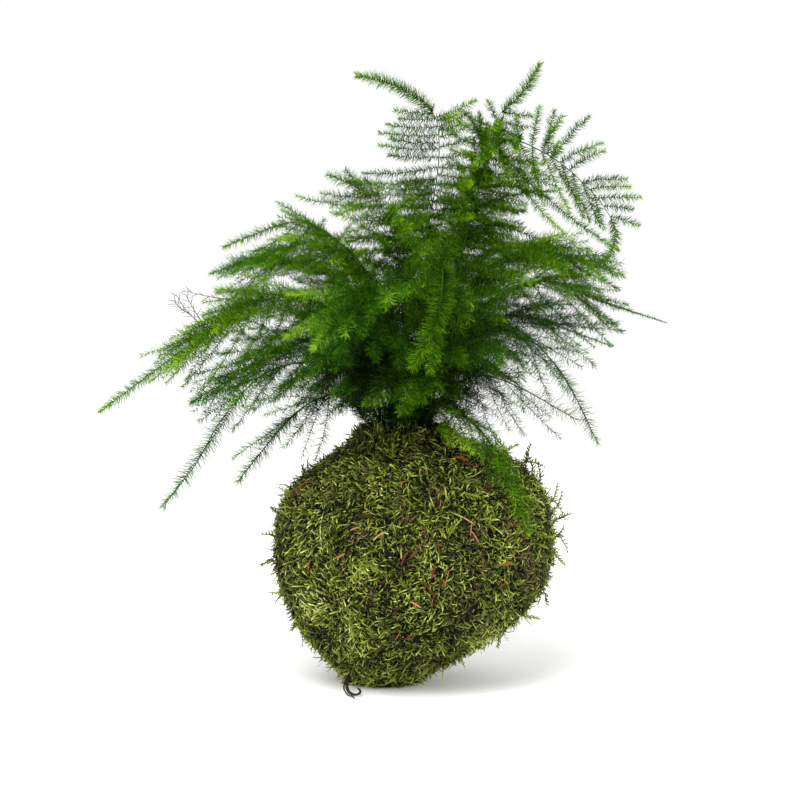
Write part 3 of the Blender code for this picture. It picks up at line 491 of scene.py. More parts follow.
# Sprigs on the front: X, height, angle up from the X axis, length and how steeply they stand.
# Those over SPRIG_LYING stand up from the edge of the ball.
FRONT_SPRIGS = (
    (-30, 76, -60, 12, 0.4), (-13, 72, -115, 14, 0.4), (-10, 70, -50, 11, 0.4), (-1, 114, 95, 11, 0.6),
    (5, 118, 80, 9, 0.6), (-50, 84, 150, 11, 0.5), (-47, 60, -165, 10, 0.5), (30, 100, -20, 12, 0.4),
    (58, 96, 20, 12, 0.5), (-20, 40, -100, 12, 0.5), (20, 34, -80, 12, 0.5), (40, 52, -60, 11, 0.5),
    (75, 84, 30, 15, 2.0), (76, 76, -20, 14, 2.4), (74, 88, 70, 15, 1.8), (72, 97, 60, 15, 1.4),
    (68, 105, 70, 16, 1.2), (64, 111, 80, 15, 1.1), (76, 66, -60, 12, 1.6), (72, 48, -60, 12, 1.4),
    (75, 80, 60, 14, 1.6), (73, 92, 20, 14, 2.0), (70, 101, 90, 15, 1.2), (66, 108, 40, 15, 1.6),
    (61, 34, -40, 13, 1.6), (54, 26, -60, 11, 1.4), (76, 72, 40, 11, 2.0), (60, 113, 50, 13, 1.4),
    (-56, 74, 120, 10, 1.6), (-57, 64, 200, 12, 2.0), (-54, 84, 140, 10, 1.4), (-50, 93, 130, 10, 1.3),
    (-52, 50, 220, 10, 1.4), (-46, 36, 230, 10, 1.3), (-44, 101, 120, 10, 1.2),
    (-20, 8, -100, 9, 0.8), (0, 6, -80, 9, 0.9), (12, 8, -70, 9, 0.8),
    (26, 15, -60, 9, 0.8), (-10, 6, -95, 8, 0.9), (-33, 20, -120, 9, 0.9), (52, 30, -50, 9, 0.9),
)
# The thread's turns round the ball: azimuth and lean of the plane's normal in degrees, the plane's
# offset from the middle of the ball, and how far the thread rises where it comes to the front.
WINDINGS = ((-3, -2, -42, 2.4), (115, 36, 0, 0.0))
WINDING_POINTS = 120
WINDING_HALVINGS = 24         # steps in which a point of it is brought to the ball's skin
THREAD_RADIUS = 0.14
THREAD_SIDES = 6
THREAD_LIFT = -0.3            # its height over the ball's skin
THREAD_WAVES = (0.2, 14.0)    # how much its lift changes, and over what length
THREAD_CLEAR = (82, 7)        # the height where it comes to the front, and over how much

# The root and its rootlets: the points they pass and their radius.
ROOTS = (
    (((-16, -14, 12), (-20, -19, 9), (-23, -26, 6), (-23, -32, 3), (-21, -37, 1.5), (-18, -38, 1.3),
      (-16.5, -35, 2.2), (-18, -32, 3.4)), 1.15),
    (((-22, -22, 8), (-24, -28, 6), (-24.5, -33, 3), (-22.5, -38, 1.2), (-20.5, -41, 0.9)), 0.55),
    (((-21, -36, 1.6), (-20.5, -40, 1.0), (-19.5, -43, 0.7), (-19, -45, 0.6)), 0.4),
)
ROOT_STATIONS = 40
ROOT_SIDES = 8
ROOT_TAPER = 0.45             # its radius at the tip over that at its start
ROOT_KNOTS = (0.16, 2.1, 0.9)      # how thick its knots are, and two rates that space them

# The bare twigs: the points they pass.
DEAD_TWIGS = (
    ((-90, -22, 176), (-95, -22, 180), (-100.5, -22, 185.5), (-104, -22, 191), (-105, -22, 193)),
    ((-70, -22, 187), (-79, -22, 190), (-88, -22, 191.5), (-97, -22, 193.5), (-102, -22, 195)),
    ((-98, -22, 183), (-103, -21, 186), (-106.5, -20, 190)),
    ((-92, -22, 178), (-95.5, -23, 184), (-99, -23, 190), (-100, -23, 193)),
)
DEAD_TWIG_RADIUS = (0.32, 0.14)    # at its start and at its tip
DEAD_TWIG_STATIONS = 12
DEAD_FORKS = 9                # short side twigs on each
DEAD_FORK_BAND = (0.25, 0.95)      # shares of the twig between which they root
DEAD_FORK_LENGTHS = (2.5, 5.5)
DEAD_FORK_RADIUS = (0.2, 0.1)      # at its root and at its tip
DEAD_FORK_STATIONS = 4
DEAD_FORK_WAY = (0.75, 0.65)       # along the twig and to its side
DEAD_FORK_SPREAD = 0.15
DEAD_TWIG_FACE = np.array([0.0, -1.0, 0.2])   # the way the flat of a twig and its forks faces

# Bits of litter on the front: X, height, length, angle up from the X axis, width and how light.
FRONT_LITTER = (
    (-39, 65, 9, 70, 0.7, 0.5), (-36, 64, 6, 40, 0.6, 0.5), (-18, 84, 5, 18, 0.9, 0.75),
    (-6, 82, 7, 30, 1.0, 0.8), (5, 72, 9, 62, 1.4, 0.3), (9, 74, 8, 50, 0.8, 0.35),
    (16, 57, 12, -52, 1.3, 0.3), (10, 50, 7, -35, 1.4, 0.75), (31, 113, 7, -22, 2.6, 0.5),
    (36, 110, 9, -30, 1.2, 0.35), (33, 88, 12, -28, 0.6, 0.95), (35, 84, 7, 80, 0.5, 0.75),
    (37, 80, 9, -58, 0.8, 0.7), (43, 101, 5, 15, 1.6, 0.25), (52, 67, 4, 10, 2.4, 0.5),
    (65, 57, 5, -65, 1.2, 0.3), (67, 53, 5, 22, 0.8, 0.75), (-27, 112, 5, -30, 0.9, 0.0),
    (-36, 113, 8, 78, 0.35, 0.05), (14, 84, 6, 80, 1.2, 0.3), (18, 66, 8, 75, 1.4, 0.3),
    (21, 60, 7, 70, 1.2, 0.25), (24, 62, 9, 78, 0.8, 0.6), (-46, 96, 9, 20, 1.2, 0.3),
    (-43, 99, 8, 35, 1.0, 0.6), (-52, 90, 7, 40, 1.2, 0.2), (-42, 92, 6, 30, 0.8, 0.5),
    (-22, 67, 4, -80, 1.2, 0.3), (1, 48, 5, 5, 1.0, 0.15), (7, 33, 5, 10, 1.8, 0.35),
    (-6, 29, 4, 0, 1.6, 0.3), (26, 41, 4, 35, 0.9, 0.35), (6, 95, 6, -65, 0.8, 0.25),
    (-3, 105, 5, 45, 1.0, 0.3), (20, 76, 7, -80, 0.7, 0.35), (-11, 98, 6, 60, 0.5, 0.9),
    (13, 108, 6, -50, 1.0, 0.3), (50, 45, 6, 60, 1.4, 0.3), (60, 80, 7, 80, 1.2, 0.3),
)
LITTER_SCALE = (0.92, 0.85)   # what the lengths and the widths above are multiplied by
LITTER_LIFT = 2.6             # the middle of a bit on the front over the ball's skin
LITTER_BOW = 0.1              # how much it bends to its side
LITTER_DROOP = 0.25           # how much its ends bend down to the ball
LITTER_PROFILE = np.array([[0.45, 0.9, 1.0, 1.0, 0.95, 0.75, 0.0]])   # its width along it
LITTER_SIDES = 5
LITTER_FLATTENED = 0.5        # share of its height that is pressed away
STRAY_LITTER = 90
STRAY_LITTER_LENGTHS = (3, 8)
STRAY_LITTER_LIFTS = (0.9, 2.0)
STRAY_LITTER_BOW_SPREAD = 0.15
# Each bit has one of these widths and one of these lights.
STRAY_LITTER_WIDTHS = (0.4, 0.5, 0.7, 1.2)
STRAY_LITTER_LIGHTS = (0.1, 0.25, 0.3, 0.45, 0.65)

# Surfaces.
MOTTLING = 0.14               # how much the mottling of a green changes its light, up and down
TISSUE_IOR = 1.42             # of plant tissue with its sap
TISSUE_RELIEF = 0.1           # depth of its fine grain
CRUMB_SIZE = 1.6              # of the soil
CRUMB_HEIGHT = 0.8            # and how far they stand out
GRAIN_SIZE = 0.6              # of the soil's dark and light grains
LINE_HAZE_SIZE = 3            # of the places where the nylon is scuffed
FIBRE_RELIEF = 0.15           # how far the fibres of bark stand out
TOOTH_SIZE = 2                # of the paper, coarser than a real one so that it shows

# The studio, in metres.
FLOOR_HALF = 4.0              # half the side of the square floor
LIGHT_TARGET = (0, 0, 0.14)   # what the lamps face
LAMP_SIZE = 1.0               # side of each square lamp
LAMPS = (("key_light", (-0.4, -1.0, 1.4), 30), ("fill_light", (1.1, -0.9, 0.7), 6))   # name, place, watts
CAMERA_TARGET = (0.0025, 0, 0.140)
CAMERA_DISTANCE = 1.2
CAMERA_ELEVATION = 5          # degrees
CAMERA_LENS = (110, 36)       # focal length and width of the sensor, in millimetres


# ---------------------------------------------------------------- curves and small helpers

def smooth_curve(points, per_span=10):
    """Points of the Catmull-Rom curve through the given points, so many to each span."""
    known = np.array(points, float)
    known = np.vstack([2 * known[0] - known[1], known, 2 * known[-1] - known[-2]])
    share = np.linspace(0, 1, per_span, endpoint=False)[:, None]
    spans = []
    for before, start, end, after in zip(known, known[1:], known[2:], known[3:]):
        spans.append(0.5 * (2 * start + (end - before) * share
                            + (2 * before - 5 * start + 4 * end - after) * share ** 2
                            + (3 * start - before - 3 * end + after) * share ** 3))
    return np.vstack(spans + [known[-2][None]])


class Path:
    """A curve that can be read at any distance along it."""

    def __init__(self, points):
        self.points = np.array(points, float)
        steps = np.linalg.norm(np.diff(self.points, axis=0), axis=1)
        self.distance = np.concatenate([[0], np.cumsum(steps)])
        self.length = self.distance[-1]

    def at(self, distance):
        """Points at the given distances from its start."""
        return np.stack([np.interp(distance, self.distance, self.points[:, axis]) for axis in range(3)], -1)

    def direction(self, distance):
        """The way it runs there, taken over a millimetre to each side."""
        ahead = self.at(np.minimum(distance + 1, self.length))
        return unit(ahead - self.at(np.maximum(distance - 1, 0)))


def unit(vectors):
    """The same vectors, each one long."""
    return vectors / np.linalg.norm(vectors, axis=-1, keepdims=True)


def across(directions, preferred):
    """The preferred directions, each made square to its direction and one long."""
    along = np.sum(directions * preferred, axis=-1, keepdims=True)
    return unit(preferred - directions * along)


def by_turns(count):
    """Minus one and one by turns, for what grows to the left and to the right."""
    return np.where(np.arange(count) % 2, 1.0, -1.0)[:, None]


def alike(count, *values):
    """Each of the values, given to every one of many twigs."""
    return [np.full(count, value) for value in values]


def patches(points, size, seed):
    """A smooth value between about -1 and 1 at each point, which changes over the given size."""
    rng = np.random.default_rng(seed)
    total = np.zeros(len(points))
    for _ in range(PATCH_WAVES):
        wave = unit(rng.normal(size=3)) * 2 * math.pi / (size * rng.uniform(*PATCH_WAVE_LENGTHS))
        total += np.sin(points @ wave + rng.uniform(0, 2 * math.pi))
    return total / PATCH_HEIGHT


class Growth:
    """The corners and triangles of one piece, gathered bit by bit. Each corner has a light,
    which says how light its green is, and a dry, which says how far it has gone brown."""

    def __init__(self):
        self.corners = []
        self.triangles = []
        self.light = []
        self.dry = []
        self.count = 0

    def add(self, corners, triangles, light, dry):
        """Gather more corners and triangles. Light and dry are one value, or one a corner."""
        self.corners.append(corners)
        self.triangles.append(triangles + self.count)
        self.light.append(np.broadcast_to(light, len(corners)))
        self.dry.append(np.broadcast_to(dry, len(corners)))
        self.count += len(corners)

    def make(self, name, material):
        """Turn what was gathered into an object that rides on the plant."""
        corners = np.concatenate(self.corners) * MM
        triangles = np.concatenate(self.triangles)
        mesh = bpy.data.meshes.new(name)
        mesh.vertices.add(len(corners))
        mesh.vertices.foreach_set("co", corners.ravel())
        mesh.loops.add(triangles.size)
        mesh.loops.foreach_set("vertex_index", triangles.ravel())
        mesh.polygons.add(len(triangles))
        mesh.polygons.foreach_set("loop_start", np.arange(0, triangles.size, 3))
        mesh.polygons.foreach_set("use_smooth", np.ones(len(triangles), bool))
        mesh.update(calc_edges=True)
        for attribute, values in (("light", self.light), ("dry", self.dry)):
            made = mesh.attributes.new(attribute, "FLOAT", "POINT")
            made.data.foreach_set("value", np.concatenate(values).astype(np.float32))
        mesh.materials.append(material)
        piece = bpy.data.objects.new(name, mesh)
        bpy.context.scene.collection.objects.link(piece)
        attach(piece, "root")
        return piece


def lay_piece(growth, material, name, slot, *nodes):
    """Make a piece of what was gathered, and hide the solids that it stands for."""
    piece = growth.make(name, material)
    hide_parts(*nodes)


def wall_faces(rings, sides):
    """The triangles of a tube whose corners lie in rings, closed by one last corner."""
    faces = []
    for ring in range(rings - 1):
        for side in range(sides):
            here = ring * sides + side
            beside = ring * sides + (side + 1) % sides
            faces.append((here, beside, beside + sides))
            faces.append((here, beside + sides, here + sides))
    last = (rings - 1) * sides
    faces.extend((last + side, last + (side + 1) % sides, last + sides) for side in range(sides))
    return np.array(faces)


def tubes(lines, radii, sides):
    """Corners and triangles of many tapering tubes at once, each closed by a point.
    Lines are numbered by tube, station and axis, radii by tube and station."""
    count, stations, _ = lines.shape
    ahead = unit(np.gradient(lines, axis=1))
    overall = unit(lines[:, -1:] - lines[:, :1])
    # The side that a tube's first corner is on comes from UP, or for an upright tube from a slanted way.
    upright = np.where(np.abs(overall[..., 2:]) > 0.9, np.array([0.9, 0.3, 0.2]), UP)
    start = across(ahead, np.broadcast_to(across(overall, upright), ahead.shape))
    beside = np.cross(ahead, start)
    angles = 2 * math.pi * np.arange(sides) / sides
    rings = (np.cos(angles)[:, None] * start[:, :-1, None] + np.sin(angles)[:, None] * beside[:, :-1, None])
    rings = lines[:, :-1, None] + radii[:, :-1, None, None] * rings
    corners = np.concatenate([rings.reshape(count, -1, 3), lines[:, -1:]], axis=1)
    triangles = wall_faces(stations - 1, sides)[None] + corners.shape[1] * np.arange(count)[:, None, None]
    return corners.reshape(-1, 3), triangles.reshape(-1, 3)


def per_corner(values, sides):
    """Values numbered by tube and station, as the corners of tubes need them."""
    rings = np.repeat(values[:, :-1], sides, axis=1)
    return np.concatenate([rings, values[:, -1:]], axis=1).ravel()


# ---------------------------------------------------------------- finishes

def linear(hex_colour):
    """An sRGB hex colour as linear red, green, blue and alpha."""
    parts = [int(hex_colour[start:start + 2], 16) / 255 for start in (1, 3, 5)]
    return [part / 12.92 if part <= 0.04045 else ((part + 0.055) / 1.055) ** 2.4 for part in parts] + [1.0]


def add_node(material, kind, values=None, links=None, stops=None, **properties):
    """Add a node to a material: its properties, its sockets' values, the sockets linked to
    it and, for a colour ramp, its stops as pairs of position and colour."""
    made = material.node_tree.nodes.new(kind)
    for name, value in properties.items():
        setattr(made, name, value)
    for name, value in (values or {}).items():
        made.inputs[name].default_value = value
    for name, source in (links or {}).items():
        material.node_tree.links.new(source, made.inputs[name])
    for number, (position, colour) in enumerate(stops or ()):
        elements = made.color_ramp.elements
        element = elements[number] if number < 2 else elements.new(position)
        element.position = position
        element.color = linear(colour)
    return made


def new_material(name):
    """A node material with nothing in it yet."""
    material = bpy.data.materials.new(name)
    material.use_nodes = True
    material.node_tree.nodes.clear()
    return material


def finish_surface(material, shader):
    """Put the shader on the material's surface."""
    output = add_node(material, "ShaderNodeOutputMaterial")
    material.node_tree.links.new(shader.outputs["BSDF"], output.inputs["Surface"])
    return material


def plant_tissue(name, greens, browns, grain, roughness, specular, bump):
    """Plant matter, living or dead. Its light picks a colour from the first ramp and its dry
    mixes in the second; both come from the piece. Fine noise breaks them up: grain is the
    size of its mottling in millimetres."""
    material = new_material(name)
    light = add_node(material, "ShaderNodeAttribute", attribute_name="light")
    dry = add_node(material, "ShaderNodeAttribute", attribute_name="dry")
    place = add_node(material, "ShaderNodeTexCoord")
    mottling = add_node(material, "ShaderNodeTexNoise", {"Scale": 1 / (grain * MM), "Detail": 3.0},
                        {"Vector": place.outputs["Object"]})
    spread = add_node(material, "ShaderNodeMapRange", {"To Min": -MOTTLING, "To Max": MOTTLING},
                      {"Value": mottling.outputs["Fac"]})
    shade = add_node(material, "ShaderNodeMath", links={0: light.outputs["Fac"], 1: spread.outputs["Result"]},
                     operation="ADD")
    green = add_node(material, "ShaderNodeValToRGB", links={"Fac": shade.outputs["Value"]}, stops=greens)
    brown = add_node(material, "ShaderNodeValToRGB", links={"Fac": mottling.outputs["Fac"]}, stops=browns)
    # In a mix of colours, inputs 6 and 7 are the colours and output 2 is the mixed one.
    colour = add_node(material, "ShaderNodeMix",
                      links={0: dry.outputs["Fac"], 6: green.outputs["Color"], 7: brown.outputs["Color"]},
                      data_type="RGBA")
    relief = add_node(material, "ShaderNodeBump", {"Strength": bump, "Distance": TISSUE_RELIEF * MM},
                      {"Height": mottling.outputs["Fac"]})
    shader = add_node(material, "ShaderNodeBsdfPrincipled",
                      {"Roughness": roughness, "Specular IOR Level": specular, "IOR": TISSUE_IOR},
                      {"Base Color": colour.outputs[2], "Normal": relief.outputs["Normal"]})
    return finish_surface(material, shader)


def young_cladodes():
    """Young asparagus cladodes: soft, waxy and thin, so they look bright yellow-green."""
    return plant_tissue(
        "young_asparagus_cladodes",
        ((0, "#0b1a02"), (0.35, "#2d5203"), (0.7, "#629406"), (1, "#a8cc30")),
        ((0, "#8a6a34"), (1, "#c9ab6c")), grain=1.5, roughness=0.65, specular=0.06, bump=0.2)


def mature_cladodes():
    """Mature asparagus cladodes: firmer and thicker under the same dull wax, so a deep green."""
    return plant_tissue(
        "mature_asparagus_cladodes",
        ((0, "#071202"), (0.35, "#1e4203"), (0.7, "#467c08"), (1, "#84b02a")),
        ((0, "#6a5230"), (1, "#b39460")), grain=1.5, roughness=0.65, specular=0.06, bump=0.2)


def feather_moss():
    """Living feather moss: overlapping scale leaves that are damp, so small highlights show."""
    return plant_tissue(
        "feather_moss",
        ((0, "#0c1005"), (0.3, "#333e0b"), (0.55, "#627118"), (0.8, "#94a339"), (1, "#c9d280")),
        ((0, "#33271a"), (0.5, "#5f4a30"), (1, "#9a835f")), grain=0.5, roughness=0.55, specular=0.2, bump=0.5)


def moss_mat_fibres():
    """The old dead growth under the moss, matted and brown-green, painted nearly black as the shade in the
    gaps between the shoots.
    """
    return plant_tissue(
        "dead_moss_mat_painted_shade",
        ((0, "#080a04"), (0.5, "#14180a"), (1, "#262d10")),
        ((0, "#120c07"), (1, "#2c1f12")), grain=1.0, roughness=0.9, specular=0.1, bump=1.0)


def forest_litter():
    """Bark flakes, conifer needles and straw: dead and dry, from black over rust to straw."""
    return plant_tissue(
        "bark_and_needle_litter",
        ((0, "#14100c"), (0.3, "#4c2416"), (0.52, "#84461f"), (0.78, "#a8775a"), (1, "#bfa768")),
        ((0, "#5c3a20"), (1, "#8a5f3a")), grain=0.6, roughness=0.7, specular=0.25, bump=0.8)


def potting_soil():
    """Loam and peat pressed into a ball: dark brown crumbs, quite matt."""
    material = new_material("loam_and_peat")
    place = add_node(material, "ShaderNodeTexCoord")
    crumbs = add_node(material, "ShaderNodeTexVoronoi", {"Scale": 1 / (CRUMB_SIZE * MM)},
                      {"Vector": place.outputs["Object"]})
    grains = add_node(material, "ShaderNodeTexNoise", {"Scale": 1 / (GRAIN_SIZE * MM), "Detail": 4.0},
                      {"Vector": place.outputs["Object"]})
    colour = add_node(material, "ShaderNodeValToRGB", links={"Fac": grains.outputs["Fac"]},
                      stops=((0.25, "#0d0805"), (0.55, "#2a1c11"), (0.8, "#4a3421")))
    relief = add_node(material, "ShaderNodeBump", {"Strength": 1.0, "Distance": CRUMB_HEIGHT * MM},
                      {"Height": crumbs.outputs["Distance"]})
    shader = add_node(material, "ShaderNodeBsdfPrincipled",
                      {"Roughness": 0.95, "Specular IOR Level": 0.25},
                      {"Base Color": colour.outputs["Color"], "Normal": relief.outputs["Normal"]})
    return finish_surface(material, shader)


def nylon_line():
    """Drawn nylon monofilament: smooth and clear, so it shows as a bright line of gloss."""
    material = new_material("nylon_monofilament")
    place = add_node(material, "ShaderNodeTexCoord")
    haze = add_node(material, "ShaderNodeTexNoise", {"Scale": 1 / (LINE_HAZE_SIZE * MM)},
                    {"Vector": place.outputs["Object"]})
    roughness = add_node(material, "ShaderNodeMapRange", {"To Min": 0.08, "To Max": 0.3},
                         {"Value": haze.outputs["Fac"]})
    shader = add_node(material, "ShaderNodeBsdfPrincipled",
                      {"Base Color": linear("#e6ead8"), "IOR": 1.53, "Transmission Weight": 0.75},
                      {"Roughness": roughness.outputs["Result"]})
    return finish_surface(material, shader)


def woody(name, colours, grain, roughness):
    """Dead woody matter: a grain of fibres in the given colours. Grain is its size in millimetres."""
    material = new_material(name)
    place = add_node(material, "ShaderNodeTexCoord")
    fibres = add_node(material, "ShaderNodeTexNoise", {"Scale": 1 / (grain * MM), "Detail": 4.0},
                      {"Vector": place.outputs["Object"]})
    colour = add_node(material, "ShaderNodeValToRGB", links={"Fac": fibres.outputs["Fac"]}, stops=colours)
    relief = add_node(material, "ShaderNodeBump", {"Strength": 0.7, "Distance": FIBRE_RELIEF * MM},
                      {"Height": fibres.outputs["Fac"]})
    shader = add_node(material, "ShaderNodeBsdfPrincipled",
                      {"Roughness": roughness, "Specular IOR Level": 0.35},
                      {"Base Color": colour.outputs["Color"], "Normal": relief.outputs["Normal"]})
    return finish_surface(material, shader)


def root_bark():
    """The thin cork of a fern root: dry fibres, nearly black, with a dull sheen."""
    return woody("root_bark", ((0.3, "#120c07"), (0.7, "#33231a")), grain=0.8, roughness=0.75)


def dead_twig_bark():
    """The bark of twigs that dried on the plant: shrunken fibres, grey-brown and matt."""
    return woody("dead_twig_bark", ((0.3, "#2a201d"), (0.7, "#5a4a42")), grain=0.8, roughness=0.8)


def studio_paper():
    """The floor's sheet of white paper: matt, with the faint tooth of its fibres."""
    material = new_material("white_studio_paper")
    place = add_node(material, "ShaderNodeTexCoord")
    tooth = add_node(material, "ShaderNodeTexNoise", {"Scale": 1 / (TOOTH_SIZE * MM)},
                     {"Vector": place.outputs["Object"]})
    colour = add_node(material, "ShaderNodeValToRGB", links={"Fac": tooth.outputs["Fac"]},
                      stops=((0, "#f2f2f0"), (1, "#f8f8f7")))
    shader = add_node(material, "ShaderNodeBsdfPrincipled",
                      {"Roughness": 0.9, "Specular IOR Level": 0.1, "Emission Color": linear("#ffffff"),
                       "Emission Strength": 0.1},
                      {"Base Color": colour.outputs["Color"]})
    return finish_surface(material, shader)


# ---------------------------------------------------------------- fern

def frond_path(frond):
    """The stem's route from just over the bottom of its hole, straight up out of the soil,
    then on through its points."""
    radius, azimuth = frond.foot
    x = CROWN[0] + radius * math.cos(math.radians(azimuth))
    y = CROWN[1] + radius * math.sin(math.radians(azimuth))
    feet = ((x, y, SOIL_TOP - HOLE_DEPTH + 1), (x, y, SOIL_TOP + 2))
    return Path(smooth_curve(feet + frond.stem, per_span=16))


class Twigs(NamedTuple):
    """Many twigs: where each starts, its direction, how it bends, its length, the way the
    flat side of its plume faces, how light its green is, how much lighter its tip is, the
    length of its needles, how many of them stand in one ring, and their width."""

    start: np.ndarray
    direction: np.ndarray
    bend: np.ndarray
    length: np.ndarray
    flat: np.ndarray
    light: np.ndarray
    glow: np.ndarray
    needle: np.ndarray
    whorl: np.ndarray
    blade: np.ndarray

    def at(self, which, share):
        """Points on the numbered twigs at a share of their length."""
        share = share[..., None]
        return self.start[which] + self.length[which][..., None] * (
            share * self.direction[which] + 0.5 * share ** 2 * self.bend[which])

    def heading(self, which, share):
        """The way the numbered twigs run there."""
        return unit(self.direction[which] + share[..., None] * self.bend[which])

    def joined(self, other):
        """These twigs and the others together."""
        return Twigs(*(np.concatenate(pair) for pair in zip(self, other)))


def side_twigs(frond, stem, rng):
    """The close side twigs of a frond, turn by turn to the left and right."""
    start = frond.bare * stem.length
    end = min(frond.full * stem.length, stem.length - BRUSH_ALONE * frond.brush)
    stops = np.arange(start, end, frond.spacing / 2)
    count = len(stops)
    stops = stops + rng.uniform(-TWIG_STRAY, TWIG_STRAY, count) * frond.spacing
    share = (stops - start) / (stem.length - start)
    along = stem.direction(stops)
    flat = across(along, np.broadcast_to(np.array(frond.face, float), along.shape))
    angle = frond.angle * (1 - TWIG_CLOSING * share) + rng.normal(0, TWIG_ANGLE_SPREAD, count)
    spread = np.radians(angle)[:, None]
    direction = unit(np.cos(spread) * along + np.sin(spread) * by_turns(count) * np.cross(along, flat)
                     + rng.uniform(*TWIG_TILT, count)[:, None] * flat)
    rising = np.clip(along[:, 2:], 0, 1)
    hanging = TWIG_OUTWARD * away_from_crown(stem.at(stops)) - TWIG_DROOP * UP
    direction = unit(direction + rising * hanging)
    length = frond.reach * np.interp(share, *zip(*PLUME_OUTLINE)) * rng.uniform(*TWIG_LENGTHS, count)
    bend = TWIG_FOLLOWS * along - TWIG_SAG * UP + rng.normal(0, TWIG_BEND_SPREAD, along.shape)
    light = frond.light + TWIG_LIGHTENING * (share - PLUME_WIDEST) + rng.normal(0, TWIG_LIGHT_SPREAD, count)
    glow = rng.choice(TIP_GLOW, count)
    needle = frond.needle * rng.uniform(*TWIG_NEEDLES, count)
    return Twigs(stem.at(stops), direction, bend, length, flat, light, glow, needle,
                 *alike(count, frond.whorl, frond.blade))


def clear_twigs(name, frond, stem, rng):
    """The side twigs that end at given points, each a little bowed."""
    back, ends = zip(*(twig[:2] for twig in CLEAR_TWIGS[name]))
    lighter = np.array([twig[2] if len(twig) > 2 else 0.0 for twig in CLEAR_TWIGS[name]])
    count = len(back)
    stops = stem.length - np.array(back, float)
    start = stem.at(stops)
    reach = np.array(ends, float) - start
    bend = CLEAR_FOLLOWS * stem.direction(stops) + rng.normal(0, CLEAR_BEND_SPREAD, start.shape)
    bend = bend - unit(reach) * np.sum(bend * unit(reach), axis=1, keepdims=True)
    # A twig sets off half its bend to the other side, so that it ends at its point.
    return Twigs(start, unit(reach) - 0.5 * bend, bend, np.linalg.norm(reach, axis=1),
                 np.broadcast_to(np.array(frond.face, float), start.shape),
                 frond.light + lighter + rng.uniform(*CLEAR_LIGHT, count),
                 rng.choice(TIP_GLOW, count) + np.maximum(lighter, 0),
                 *alike(count, CLEAR_NEEDLES * frond.needle, frond.whorl + CLEAR_EXTRA, frond.blade))


def leader(frond, stem):
    """The stem's own tip, which carries needles: the parabola through three of its points."""
    start = stem.at(stem.length - frond.brush)
    middle = stem.at(stem.length - frond.brush / 2)
    end = stem.at(stem.length)
    bend = 4 * (start + end - 2 * middle) / frond.brush
    way = (end - start) / frond.brush - 0.5 * bend
    flat = across(unit(way), np.array(frond.face, float))
    return Twigs(start[None], way[None], bend[None], np.array([frond.brush]), flat[None],
                 *alike(1, frond.light + LEADER_LIGHTER, LEADER_GLOW, frond.tip * frond.needle,
                        LEADER_WHORL * frond.whorl, frond.blade))


def away_from_crown(points):
    """The level way from the crown's middle to each point."""
    outward = (points - np.array([CROWN[0], CROWN[1], 0])) * LEVEL
    # The small addition gives a point right above the middle a way too.
    return unit(outward + 1e-6 * RIGHT_WAY)


def skirt_twigs(frond, stem, rng):
    """Twigs that hang outwards from the lower part of a stem and hide the crown."""
    count = frond.skirt
    start = stem.at(stem.length * frond.bare * rng.uniform(*SKIRT_BAND, count))
    outward = unit(away_from_crown(start) + rng.normal(0, SKIRT_STRAY, start.shape) * LEVEL)
    direction = unit(outward + rng.uniform(*SKIRT_RISE, count)[:, None] * UP)
    bend = -rng.uniform(*SKIRT_SAG, count)[:, None] * UP
    room = np.maximum(start[:, 2] - SOIL_TOP - SKIRT_CLEAR, 0)
    length = np.clip(rng.uniform(*SKIRT_LENGTHS, count), SKIRT_SHORTEST, SKIRT_LOW + SKIRT_PER_HEIGHT * room)
    return Twigs(start, direction, bend, length, np.broadcast_to(UP, start.shape),
                 rng.uniform(*SKIRT_LIGHT, count), rng.choice(TIP_GLOW, count),
                 *alike(count, SKIRT_NEEDLES * frond.needle, frond.whorl, frond.blade))


def grow_twigs(growth, twigs):
    """The thin bark of every twig."""
    stations = np.linspace(0, 1, TWIG_STATIONS)
    which = np.repeat(np.arange(len(twigs.length))[:, None], TWIG_STATIONS, axis=1)
    share = np.broadcast_to(stations, which.shape)
    radii = np.broadcast_to(np.interp(stations, (0, 1), TWIG_RADIUS), which.shape)
    light = per_corner(twigs.light[which] + TWIG_TIP_LIGHTER * share, TWIG_SIDES)
    growth.add(*tubes(twigs.at(which, share), radii, TWIG_SIDES), light, 0.0)


